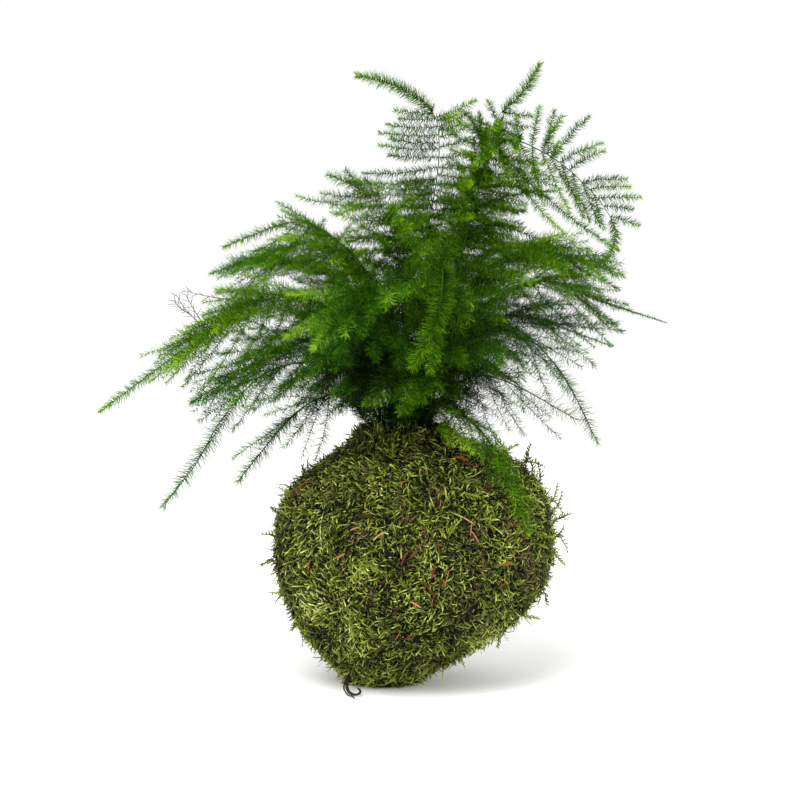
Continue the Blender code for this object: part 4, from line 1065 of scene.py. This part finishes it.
def grow_needles(growth, twigs, rng):
    """The rings of needles along every twig. Each needle is a narrow blade that tapers. Real
    ones are a little finer, but would be lost from where the whole plant is seen."""
    rings = np.maximum(2, np.round((twigs.length - 1) / WHORL_SPACING)).astype(int)
    each = rings * twigs.whorl
    which = np.repeat(np.arange(len(rings)), each)
    count = len(which)
    number = np.arange(count) - np.repeat(np.cumsum(each) - each, each)
    ring = number // twigs.whorl[which] + 0.5 + rng.normal(0, WHORL_STRAY, count)
    share = np.clip(ring / rings[which], FIRST_NEEDLE, 1)
    near_tip = np.interp(share, (TWIG_TIP_FROM, 1), (0, 1))

    foot = twigs.at(which, share)
    way = twigs.heading(which, share)
    flat = across(way, twigs.flat[which])
    turn = rng.uniform(0, 2 * math.pi, count)[:, None]
    lean = NEEDLE_LEAN - TIP_CLOSING * near_tip + rng.normal(0, NEEDLE_LEAN_SPREAD, count)
    lean = np.radians(lean)[:, None]
    outward = unit(np.cos(turn) * np.cross(way, flat) + RING_FLATNESS * np.sin(turn) * flat)
    direction = np.cos(lean) * way + np.sin(lean) * outward

    length = twigs.needle[which] * rng.uniform(*NEEDLE_LENGTHS, count) * (1 - TIP_SHORTER * near_tip)
    short_until, shortest = ROOT_NEEDLES
    length = length * np.interp(share * twigs.length[which], (0, short_until), (shortest, 1))
    tip = foot + length[:, None] * direction
    half = (0.5 * twigs.blade[which] * rng.uniform(*NEEDLE_WIDTHS, count))[:, None]
    edge = half * across(direction, rng.normal(size=direction.shape))
    corners = np.stack([foot + edge, foot - edge, tip + NEEDLE_TIP * edge, tip - NEEDLE_TIP * edge], axis=1)
    triangles = np.array([(0, 1, 3), (0, 3, 2)])[None] + 4 * np.arange(count)[:, None, None]

    # Painted shade: needles are coloured darker the nearer they stand to the heart of the plant.
    shade = np.interp(np.linalg.norm(foot - HEART, axis=1), SHADE_DISTANCE, SHADE)
    light = twigs.light[which] + rng.normal(0, NEEDLE_LIGHT_SPREAD, count)
    # Painted shade: needles are darker towards the root of their twig, inside the brush.
    light = light + twigs.glow[which] * share ** 2 - shade - ROOT_DARKER * (1 - share)
    # Painted shade at each needle's foot and a painted highlight at its tip.
    light = light[:, None] + NEEDLE_LIGHTENING
    growth.add(corners.reshape(-1, 3), triangles.reshape(-1, 3), light.ravel(), 0.0)


def grow_stem(growth, frond, stem):
    """The stem, dark in the crown and greener towards its tip."""
    stops = np.linspace(0, stem.length, STEM_STATIONS)
    share = stops / stem.length
    radii = np.interp(share, (0, 0.5, 1), STEM_RADIUS)
    light = np.interp(share, (0, STEM_GREEN_FROM, 1), (*STEM_LIGHT, frond.light + STEM_TIP_LIGHTER))
    corners, triangles = tubes(stem.at(stops)[None], radii[None], STEM_SIDES)
    growth.add(corners, triangles, per_corner(light[None], STEM_SIDES), 0.0)


def make_fern(young, mature):
    """Every frond as a piece of its own: its stem, its twigs and their needles."""
    for number, (name, frond) in enumerate(FRONDS.items()):
        rng = np.random.default_rng(100 + number)
        stem = frond_path(frond)
        twigs = side_twigs(frond, stem, rng).joined(skirt_twigs(frond, stem, rng)).joined(leader(frond, stem))
        if name in CLEAR_TWIGS:
            twigs = twigs.joined(clear_twigs(name, frond, stem, rng))
        growth = Growth()
        grow_stem(growth, frond, stem)
        grow_twigs(growth, twigs)
        grow_needles(growth, twigs, rng)
        material, slot = (young, "young_foliage") if name in YOUNG_FRONDS else (mature, "mature_foliage")
        lay_piece(growth, material, name.replace("frond", "foliage"), slot, name)


def make_inner_growth(material):
    """Short shoots that crowd round the feet of the stems, coloured dark as painted shade for the deep shade
    there.
    """
    rng = np.random.default_rng(81)
    azimuth = rng.uniform(0, 2 * math.pi, INNER_SHOOTS)
    radius = (INNER_RADIUS * np.sqrt(rng.uniform(0, 1, INNER_SHOOTS)))[:, None]
    outward = np.stack([np.cos(azimuth), np.sin(azimuth), np.zeros(INNER_SHOOTS)], -1)
    start = np.array([CROWN[0], CROWN[1], SOIL_TOP]) + radius * outward
    direction = unit(UP + INNER_OUTWARD * radius * outward + rng.normal(0, INNER_LEAN_SPREAD, start.shape))
    bend = INNER_BOW * outward + rng.normal(0, INNER_BOW_SPREAD, start.shape)
    twigs = Twigs(start, direction, bend, rng.uniform(*INNER_LENGTHS, INNER_SHOOTS), np.cross(UP, outward),
                  rng.uniform(*INNER_LIGHT, INNER_SHOOTS),
                  *alike(INNER_SHOOTS, 0.0, INNER_NEEDLE, INNER_WHORL, INNER_BLADE))
    growth = Growth()
    grow_twigs(growth, twigs)
    grow_needles(growth, twigs, rng)
    growth.make("inner_growth", material)


# ---------------------------------------------------------------- ball of moss

# The ball's skin from the top down, and the share of its area above each of those heights.
BALL_SKIN = smooth_curve(BALL_PROFILE[::-1], per_span=8)
SKIN_SLANT = np.hypot(np.diff(BALL_SKIN[:, 0]), np.diff(BALL_SKIN[:, 2]))
SKIN_AREA = np.concatenate([[0], np.cumsum(SKIN_SLANT * (BALL_SKIN[1:, 2] + BALL_SKIN[:-1, 2]) / 2)])
SKIN_AREA = SKIN_AREA / SKIN_AREA[-1]


def skin_point(share, angle):
    """Points on the ball's skin: share of the skin's area from the top down, and angle."""
    height, middle, half_width = (np.interp(share, SKIN_AREA, BALL_SKIN[:, column]) for column in range(3))
    return np.stack([middle + half_width * np.cos(angle),
                     BALL_DEPTH_RATIO * half_width * np.sin(angle), height], -1)


def skin_normal(share, angle):
    """The way out of the ball's skin."""
    round_way = skin_point(share, angle + SKIN_STEP) - skin_point(share, angle - SKIN_STEP)
    below, above = np.minimum(share + SKIN_STEP, 1), np.maximum(share - SKIN_STEP, 0)
    down_way = skin_point(below, angle) - skin_point(above, angle)
    return unit(np.cross(down_way, round_way))


def section_at(height):
    """X of the middle and half width of the ball's section at each height."""
    heights = BALL_SKIN[::-1]
    return [np.interp(height, heights[:, 0], heights[:, column]) for column in (1, 2)]


def front_place(x, z):
    """Share and angle of the place on the ball's front at that X and height."""
    middle, half_width = section_at(z)
    share = np.interp(z, BALL_SKIN[::-1, 0], SKIN_AREA[::-1])
    return share, -math.acos(np.clip((x - middle) / half_width, -1, 1))


def make_moss_mat(material):
    """The mat under the shoots, dark as painted shade: the ball's skin, rough, with its rim turned in."""
    angles = 2 * math.pi * np.arange(MAT_ROUNDS) / MAT_ROUNDS
    sections = np.vstack([MAT_RIM, BALL_SKIN, [MAT_FOOT]])
    points = np.stack([np.stack([middle + half * np.cos(angles), BALL_DEPTH_RATIO * half * np.sin(angles),
                                 np.full(MAT_ROUNDS, height)], -1) for height, middle, half in sections])
    points = points.reshape(-1, 3)
    outward = unit(points - BALL_MIDDLE)
    lump_height, lump_size = MAT_LUMPS
    crumb_height, crumb_size = MAT_CRUMBS
    rough = lump_height * patches(points, lump_size, 5) + crumb_height * patches(points, crumb_size, 6)
    points = points + (rough - MAT_SUNK)[:, None] * outward
    points[:, 2] = np.maximum(points[:, 2], FLOOR_GAP)
    corners = np.vstack([points, [(0, 0, FLOOR_GAP)]])
    # The sections go from the top down, so the triangles are turned to face outwards.
    triangles = wall_faces(len(sections), MAT_ROUNDS)[:, ::-1]
    middle_light, drift, drift_size = MAT_LIGHT
    light = middle_light + drift * patches(corners, drift_size, 7)
    dry = np.clip(patches(corners, MAT_BROWN_SIZE, 8), 0, 1)
    growth = Growth()
    growth.add(corners, triangles, light, dry)
    lay_piece(growth, material, "moss_mat", "moss", "moss_cover")


def moss_flow(points, normals):
    """The way the moss lies at each point: down the ball, swirled from patch to patch."""
    swirl = np.stack([patches(points, MOSS_SWIRL_SIZE, seed) for seed in (21, 22, 23)], -1)
    return across(normals, MOSS_SWIRL * swirl - MOSS_DOWN * UP + MOSS_DRIFT)


def ribbons(lines, widths, facing):
    """Corners and triangles of many flat strips at once, each closed by a point. Lines and
    widths are numbered by strip and station, facing by strip."""
    count, stations, _ = lines.shape
    ahead = unit(np.gradient(lines, axis=1))
    aside = unit(np.cross(ahead, np.broadcast_to(facing[:, None], ahead.shape)))[:, :-1]
    half = 0.5 * widths[:, :-1, None] * aside
    pairs = np.stack([lines[:, :-1] + half, lines[:, :-1] - half], axis=2)
    corners = np.concatenate([pairs.reshape(count, -1, 3), lines[:, -1:]], axis=1)
    one = []
    for here in range(0, 2 * (stations - 2), 2):
        one.append((here, here + 1, here + 3))
        one.append((here, here + 3, here + 2))
    last = 2 * (stations - 2)
    one.append((last, last + 1, last + 2))
    triangles = np.array(one)[None] + corners.shape[1] * np.arange(count)[:, None, None]
    return corners.reshape(-1, 3), triangles.reshape(-1, 3)


def shoot_lines(layer, roots, normals, rng):
    """The curled course of each shoot: it leaves the mat at its rise, follows the way the
    moss lies and hooks over to one side."""
    count = len(roots)
    flow = moss_flow(roots, normals)
    flow = across(normals, flow + rng.normal(0, SHOOT_STRAY, flow.shape))
    sideways = np.cross(normals, flow)
    rise = np.radians(rng.uniform(*layer.rise, count))[:, None]
    heading = np.sin(rise) * normals + np.cos(rise) * flow
    hand = rng.choice((-1.0, 1.0), count)[:, None]
    inward = unit(hand * sideways - rng.uniform(*SHOOT_HOOK, count)[:, None] * normals)
    inward = across(heading, inward)
    turn = rng.uniform(*SHOOT_TURN, count)[:, None, None]
    drift, drift_size = SHOOT_LENGTH_DRIFT
    reach = rng.uniform(*layer.length, count) * (1 + drift * patches(roots, drift_size, 33))
    along = SHOOT_STOPS[None, :, None]
    lines = (roots - layer.sunk * normals)[:, None] + reach[:, None, None] / turn * (
        np.sin(turn * along) * heading[:, None] + (1 - np.cos(turn * along)) * inward[:, None])
    lines[..., 2] = np.maximum(lines[..., 2], SHOOT_FLOOR_GAP)
    return lines


def nearness(points, places):
    """How near each point is to places on the front, each given by X, height and radius."""
    total = np.zeros(len(points))
    for x, z, radius in places:
        from_place = points - skin_point(*front_place(x, z))
        total += np.exp(-np.sum(from_place ** 2, axis=1) / radius ** 2)
    return total


def shoot_shades(layer, roots, rng):
    """How light each shoot is along its length, and how dry. It is dark where it leaves the
    mat, as painted shade, and lighter near some places on the front, as painted light. Whole
    patches are older and browner."""
    count = len(roots)
    drift, drift_size = SHOOT_LIGHT_DRIFT
    base = rng.uniform(*layer.light, count) + drift * patches(roots, drift_size, 31)
    # Painted light: the moss is made lighter near the listed places on the front.
    base = base + SHOOT_PAINTED_LIGHT * nearness(roots, PAINTED_LIGHT_PLACES)
    light = base[:, None] + np.interp(SHOOT_STOPS, (0, 1), SHOOT_LIGHTENING)
    brown = patches(roots, SHOOT_BROWN_SIZE, 32) + rng.normal(0, SHOOT_BROWN_SPREAD, count)
    brown = brown + nearness(roots, BROWN_PLACES) > SHOOT_BROWN_FROM
    dry = np.where(brown, rng.uniform(*SHOOT_DRY, count), rng.uniform(*SHOOT_FRESH_DRY, count))
    return light, dry[:, None] * np.ones(len(SHOOT_STOPS))


def even_places(count, rng, band=WHOLE_BALL):
    """Places spread evenly over the ball's skin between two heights, a little shaken."""
    number = np.arange(count)
    share = (number + rng.uniform(0, 1, count)) / count
    bottom, top = np.interp(band, BALL_SKIN[::-1, 0], SKIN_AREA[::-1])
    return top + share * (bottom - top), number * GOLDEN_ANGLE + rng.normal(0, PLACE_SHAKE, count)


def make_moss(moss):
    """The layers of single shoots, and the sprigs that lie on them."""
    rng = np.random.default_rng(11)
    for name, layer in MOSS_LAYERS.items():
        share, angle = even_places(layer.count, rng, layer.band)
        roots = skin_point(share, angle)
        normals = skin_normal(share, angle)
        lines = shoot_lines(layer, roots, normals, rng)
        light, dry = shoot_shades(layer, roots, rng)
        widths = layer.width * SHOOT_PROFILE * rng.uniform(*SHOOT_WIDTHS, (layer.count, 1))
        facing = unit(normals + rng.normal(0, SHOOT_FACING_SPREAD, normals.shape))
        growth = Growth()
        growth.add(*ribbons(lines, widths, facing), per_corner(light, 2), per_corner(dry, 2))
        lay_piece(growth, moss, name, "moss", "moss_cover")
    make_sprigs(moss, rng)


def in_plane(degrees):
    """The way at that angle up from the X axis, seen from the front."""
    angle = np.radians(degrees)
    return np.cos(angle) * RIGHT_WAY + np.sin(angle) * UP


def sprig_places(rng):
    """Where each sprig roots, the way out of the ball there, the way it lies, its length and
    how steeply it stands: first the ones on the front, then the stray ones."""
    x, z, degrees, lengths, stands = zip(*FRONT_SPRIGS)
    front = np.array([front_place(*place) for place in zip(x, z)])
    share, angle = even_places(STRAY_SPRIGS, rng, SPRIG_BAND)
    share, angle = np.append(front[:, 0], share), np.append(front[:, 1], angle)
    roots, normals = skin_point(share, angle), skin_normal(share, angle)
    ways = across(normals, moss_flow(roots, normals) + rng.normal(0, SPRIG_STRAY, roots.shape))
    chosen = in_plane(np.array(degrees)[:, None])
    ways[:len(chosen)] = across(normals[:len(chosen)], chosen)
    lengths = np.append(lengths, rng.uniform(*SPRIG_LENGTHS, STRAY_SPRIGS))
    stands = np.append(stands, rng.uniform(*SPRIG_STANDS, STRAY_SPRIGS))
    return zip(roots, normals, ways, lengths, stands)


def sprig_lines(root, normal, face, way, length, stand, rng):
    """The courses of a sprig's axis and of its branches, turn by turn to the left and right."""
    lying = stand < SPRIG_LYING
    way = across(face, way + stand * normal)
    aside = np.cross(face, way)
    bow = rng.normal(0, SPRIG_BOW_SPREAD) * aside - SPRIG_BOW * normal
    stops = SHOOT_STOPS[:, None] * length
    ahead = unit(way + stand * normal) if lying else unit(way)
    axis = root + SPRIG_LIFT * normal + stops * ahead + stops ** 2 / length * bow

    feet = np.arange(SPRIG_BARE[0], length - SPRIG_BARE[1], SPRIG_SPACING)
    foot = np.stack([np.interp(feet, stops[:, 0], axis[:, level]) for level in range(3)], -1)
    side = by_turns(len(feet))
    reach = rng.uniform(*BRANCH_LENGTH_RANGE, len(feet))
    reach = reach * np.interp(feet / length, BRANCH_PLACES, BRANCH_LENGTHS)
    reach = reach if lying else BRANCH_STANDING * reach
    out = unit(BRANCH_AHEAD * way + side * aside + rng.normal(0, BRANCH_SPREAD, foot.shape))
    bend_ahead, bend_out, bend_aside = BRANCH_BEND
    bend = bend_ahead * way + bend_out * face + bend_aside * side * aside
    stops = SHOOT_STOPS[None, :, None]
    branches = foot[:, None] + reach[:, None, None] * stops * (out[:, None] + stops * bend[:, None])
    lines = np.concatenate([axis[None], branches])
    lines[..., 2] = np.maximum(lines[..., 2], SHOOT_FLOOR_GAP)
    return lines


def make_sprigs(moss, rng):
    """Sprigs of feather moss that lie on the rest, or stand up at the edge of the ball."""
    growth = Growth()
    for root, normal, way, length, stand in sprig_places(rng):
        face = normal if stand < SPRIG_LYING else FRONT_WAY
        lines = sprig_lines(root, normal, face, way, length, stand, rng)
        widths = SPRIG_WIDTH * SHOOT_PROFILE * np.ones((len(lines), 1))
        lightening = np.broadcast_to(np.interp(SHOOT_STOPS, (0, 1), SPRIG_LIGHTENING), widths.shape)
        light = rng.uniform(*SPRIG_LIGHT) + lightening
        corners, triangles = ribbons(lines, widths, np.broadcast_to(face, (len(lines), 3)))
        growth.add(corners, triangles, per_corner(light, 2), 0.0)
    lay_piece(growth, moss, "moss_sprigs", "moss", "moss_cover")


# ---------------------------------------------------------------- thread, root and soil

def make_soil(material):
    """The packed soil keeps its solid, which shows only in the crown."""
    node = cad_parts["soil_ball"]
    for slot in node.material_slots:
        slot.material = material


def inside_ball(points):
    """Which of the points are inside the ball's skin."""
    middle, half_width = section_at(points[:, 2])
    in_section = np.hypot(points[:, 0] - middle, points[:, 1] / BALL_DEPTH_RATIO) < half_width
    return in_section & (points[:, 2] > BALL_SKIN[-1, 0]) & (points[:, 2] < BALL_SKIN[0, 0])


def winding(azimuth, lean, offset, rise):
    """One turn of the thread round the ball, in a plane given by its normal's azimuth and
    lean in degrees and its offset from the ball's middle."""
    azimuth, lean = math.radians(azimuth), math.radians(lean)
    level = math.cos(lean)
    normal = np.array([level * math.cos(azimuth), level * math.sin(azimuth), math.sin(lean)])
    first = unit(np.cross(normal, UP))
    second = np.cross(normal, first)
    centre = BALL_MIDDLE + offset * normal
    angles = np.linspace(0, 2 * math.pi, WINDING_POINTS)
    ways = np.cos(angles)[:, None] * first + np.sin(angles)[:, None] * second
    near, far = np.zeros(WINDING_POINTS), np.full(WINDING_POINTS, BALL_REACH)
    for _ in range(WINDING_HALVINGS):
        reach = (near + far) / 2
        inside = inside_ball(centre + reach[:, None] * ways)
        near, far = np.where(inside, reach, near), np.where(inside, far, reach)
    points = centre + near[:, None] * ways
    waves, wave_size = THREAD_WAVES
    lift = THREAD_LIFT + waves * patches(points, wave_size, 51)
    height, spread = THREAD_CLEAR
    lift = lift + np.where(points[:, 1] < 0, rise, 0) * np.exp(-((points[:, 2] - height) / spread) ** 2)
    return points + lift[:, None] * unit(points - BALL_MIDDLE)


def make_thread(material):
    """The nylon line that holds the moss: thin, and mostly sunk between the shoots."""
    growth = Growth()
    for turn in WINDINGS:
        line = winding(*turn)
        radii = np.full((1, len(line)), THREAD_RADIUS)
        growth.add(*tubes(line[None], radii, THREAD_SIDES), 0.5, 0.0)
    lay_piece(growth, material, "binding_line", "nylon_thread", "binding_thread")


def make_root(material):
    """The root that has found its way out at the foot, with its finer rootlets."""
    growth = Growth()
    thickness, first_rate, second_rate = ROOT_KNOTS
    for points, radius in ROOTS:
        path = Path(smooth_curve(points, per_span=8))
        stops = np.linspace(0, path.length, ROOT_STATIONS)
        radii = np.interp(stops, (0, path.length), (radius, ROOT_TAPER * radius))
        radii = radii * (1 + thickness * np.sin(stops * first_rate) * np.cos(stops * second_rate))
        corners, triangles = tubes(path.at(stops)[None], radii[None], ROOT_SIDES)
        corners[:, 2] = np.maximum(corners[:, 2], FLOOR_GAP)
        growth.add(corners, triangles, 0.0, 1.0)
    lay_piece(growth, material, "root", "root", "root_tip")


def make_dead_twigs(material):
    """Old side twigs of the middle left frond that have lost their needles."""
    growth = Growth()
    rng = np.random.default_rng(71)
    ahead_part, side_part = DEAD_FORK_WAY
    stations = np.linspace(0, 1, DEAD_FORK_STATIONS)[None, :, None]
    fork_radii = np.linspace(*DEAD_FORK_RADIUS, DEAD_FORK_STATIONS) * np.ones((DEAD_FORKS, 1))
    for points in DEAD_TWIGS:
        path = Path(smooth_curve(points, per_span=6))
        line = path.at(np.linspace(0, path.length, DEAD_TWIG_STATIONS))
        radii = np.linspace(*DEAD_TWIG_RADIUS, DEAD_TWIG_STATIONS)
        growth.add(*tubes(line[None], radii[None], TWIG_SIDES), 0.0, 1.0)
        forks = np.linspace(*DEAD_FORK_BAND, DEAD_FORKS) * path.length
        along = path.direction(forks)
        flat = across(along, np.broadcast_to(DEAD_TWIG_FACE, along.shape))
        side = by_turns(DEAD_FORKS) * np.cross(along, flat)
        reach = rng.uniform(*DEAD_FORK_LENGTHS, DEAD_FORKS)[:, None, None] * stations
        way = ahead_part * along + side_part * side + rng.normal(0, DEAD_FORK_SPREAD, along.shape)
        lines = path.at(forks)[:, None] + reach * unit(way)[:, None]
        growth.add(*tubes(lines, fork_radii, TWIG_SIDES), 0.0, 1.0)
    lay_piece(growth, material, "dead_twigs", "mature_foliage", "frond_left_middle")


def laid_line(place, way, normal, length, lift, bow):
    """The course of a bit of litter on the ball: bowed to its side, its ends bent down."""
    along = np.linspace(-0.5, 0.5, LITTER_PROFILE.size)[:, None]
    bowed = bow * (0.25 - along ** 2) * np.cross(normal, way)
    return place + lift * normal + length * (along * way + bowed - LITTER_DROOP * along ** 2 * normal)


def front_litter(x, z, length, degrees, width, light):
    """A bit of litter that lies on the front: its course, the way out of the ball, its width
    and its light."""
    share, angle = (np.array([value]) for value in front_place(x, z))
    normal = skin_normal(share, angle)[0]
    way = across(normal, in_plane(degrees))
    length_scale, width_scale = LITTER_SCALE
    line = laid_line(skin_point(share, angle)[0], way, normal, length_scale * length, LITTER_LIFT, LITTER_BOW)
    return line, normal, width_scale * width, light


def stray_litter(rng):
    """The same for bits that lie anywhere on the ball."""
    share, angle = even_places(STRAY_LITTER, rng)
    normals = skin_normal(share, angle)
    ways = across(normals, rng.normal(size=normals.shape))
    for place, way, normal in zip(skin_point(share, angle), ways, normals):
        line = laid_line(place, way, normal, rng.uniform(*STRAY_LITTER_LENGTHS),
                         rng.uniform(*STRAY_LITTER_LIFTS), rng.normal(0, STRAY_LITTER_BOW_SPREAD))
        yield line, normal, rng.choice(STRAY_LITTER_WIDTHS), rng.choice(STRAY_LITTER_LIGHTS)


def make_litter(material):
    """Bits of bark, conifer needles and straw caught in the moss."""
    growth = Growth()
    rng = np.random.default_rng(61)
    bits = [front_litter(*bit) for bit in FRONT_LITTER] + list(stray_litter(rng))
    for line, normal, width, light in bits:
        corners, triangles = tubes(line[None], 0.5 * width * LITTER_PROFILE, LITTER_SIDES)
        centre = np.concatenate([np.repeat(line[:-1], LITTER_SIDES, axis=0), line[-1:]])
        height = np.sum((corners - centre) * normal, axis=1, keepdims=True)
        corners = corners - LITTER_FLATTENED * height * normal
        corners[:, 2] = np.maximum(corners[:, 2], FLOOR_GAP)
        growth.add(corners, triangles, light, 0.0)
    lay_piece(growth, material, "litter", "soil", "moss_cover")


# ---------------------------------------------------------------- studio

def add_to_scene(name, data, place=(0, 0, 0), target=None):
    """An object of that data, turned so that it looks at the target if it has one."""
    made = bpy.data.objects.new(name, data)
    made.location = place
    if target is not None:
        made.rotation_euler = (Vector(target) - Vector(place)).to_track_quat("-Z", "Y").to_euler()
    bpy.context.scene.collection.objects.link(made)
    return made


def make_studio():
    """A white floor and an even white surrounding, with a lamp at the upper left and a weaker
    one at the right."""
    world = bpy.data.worlds.new("studio")
    bpy.context.scene.world = world
    world.use_nodes = True
    world.node_tree.nodes["Background"].inputs["Color"].default_value = (1, 1, 1, 1)
    world.node_tree.nodes["Background"].inputs["Strength"].default_value = 1.0
    bpy.context.scene.view_settings.view_transform = "Standard"
    corners = [(x * FLOOR_HALF, y * FLOOR_HALF, 0) for x, y in ((-1, -1), (1, -1), (1, 1), (-1, 1))]
    mesh = bpy.data.meshes.new("floor")
    mesh.from_pydata(corners, [], [(0, 1, 2, 3)])
    mesh.materials.append(studio_paper())
    floor = add_to_scene("floor", mesh)
    for name, place, power in LAMPS:
        light = bpy.data.lights.new(name, "AREA")
        light.size = LAMP_SIZE
        light.energy = power
        add_to_scene(name, light, place, LIGHT_TARGET)


def make_camera():
    """The camera in front of the plant, a little above its middle and looking slightly down."""
    elevation = math.radians(CAMERA_ELEVATION)
    camera = bpy.data.cameras.new("camera")
    camera.lens, camera.sensor_width = CAMERA_LENS
    target = Vector(CAMERA_TARGET)
    place = target + CAMERA_DISTANCE * Vector((0, -math.cos(elevation), math.sin(elevation)))
    bpy.context.scene.camera = add_to_scene("camera", camera, place, target)


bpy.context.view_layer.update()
make_camera()
make_studio()
mature = mature_cladodes()
make_fern(young_cladodes(), mature)
make_inner_growth(mature)
make_moss_mat(moss_mat_fibres())
make_moss(feather_moss())
make_soil(potting_soil())
make_root(root_bark())
make_dead_twigs(dead_twig_bark())
make_thread(nylon_line())
make_litter(forest_litter())
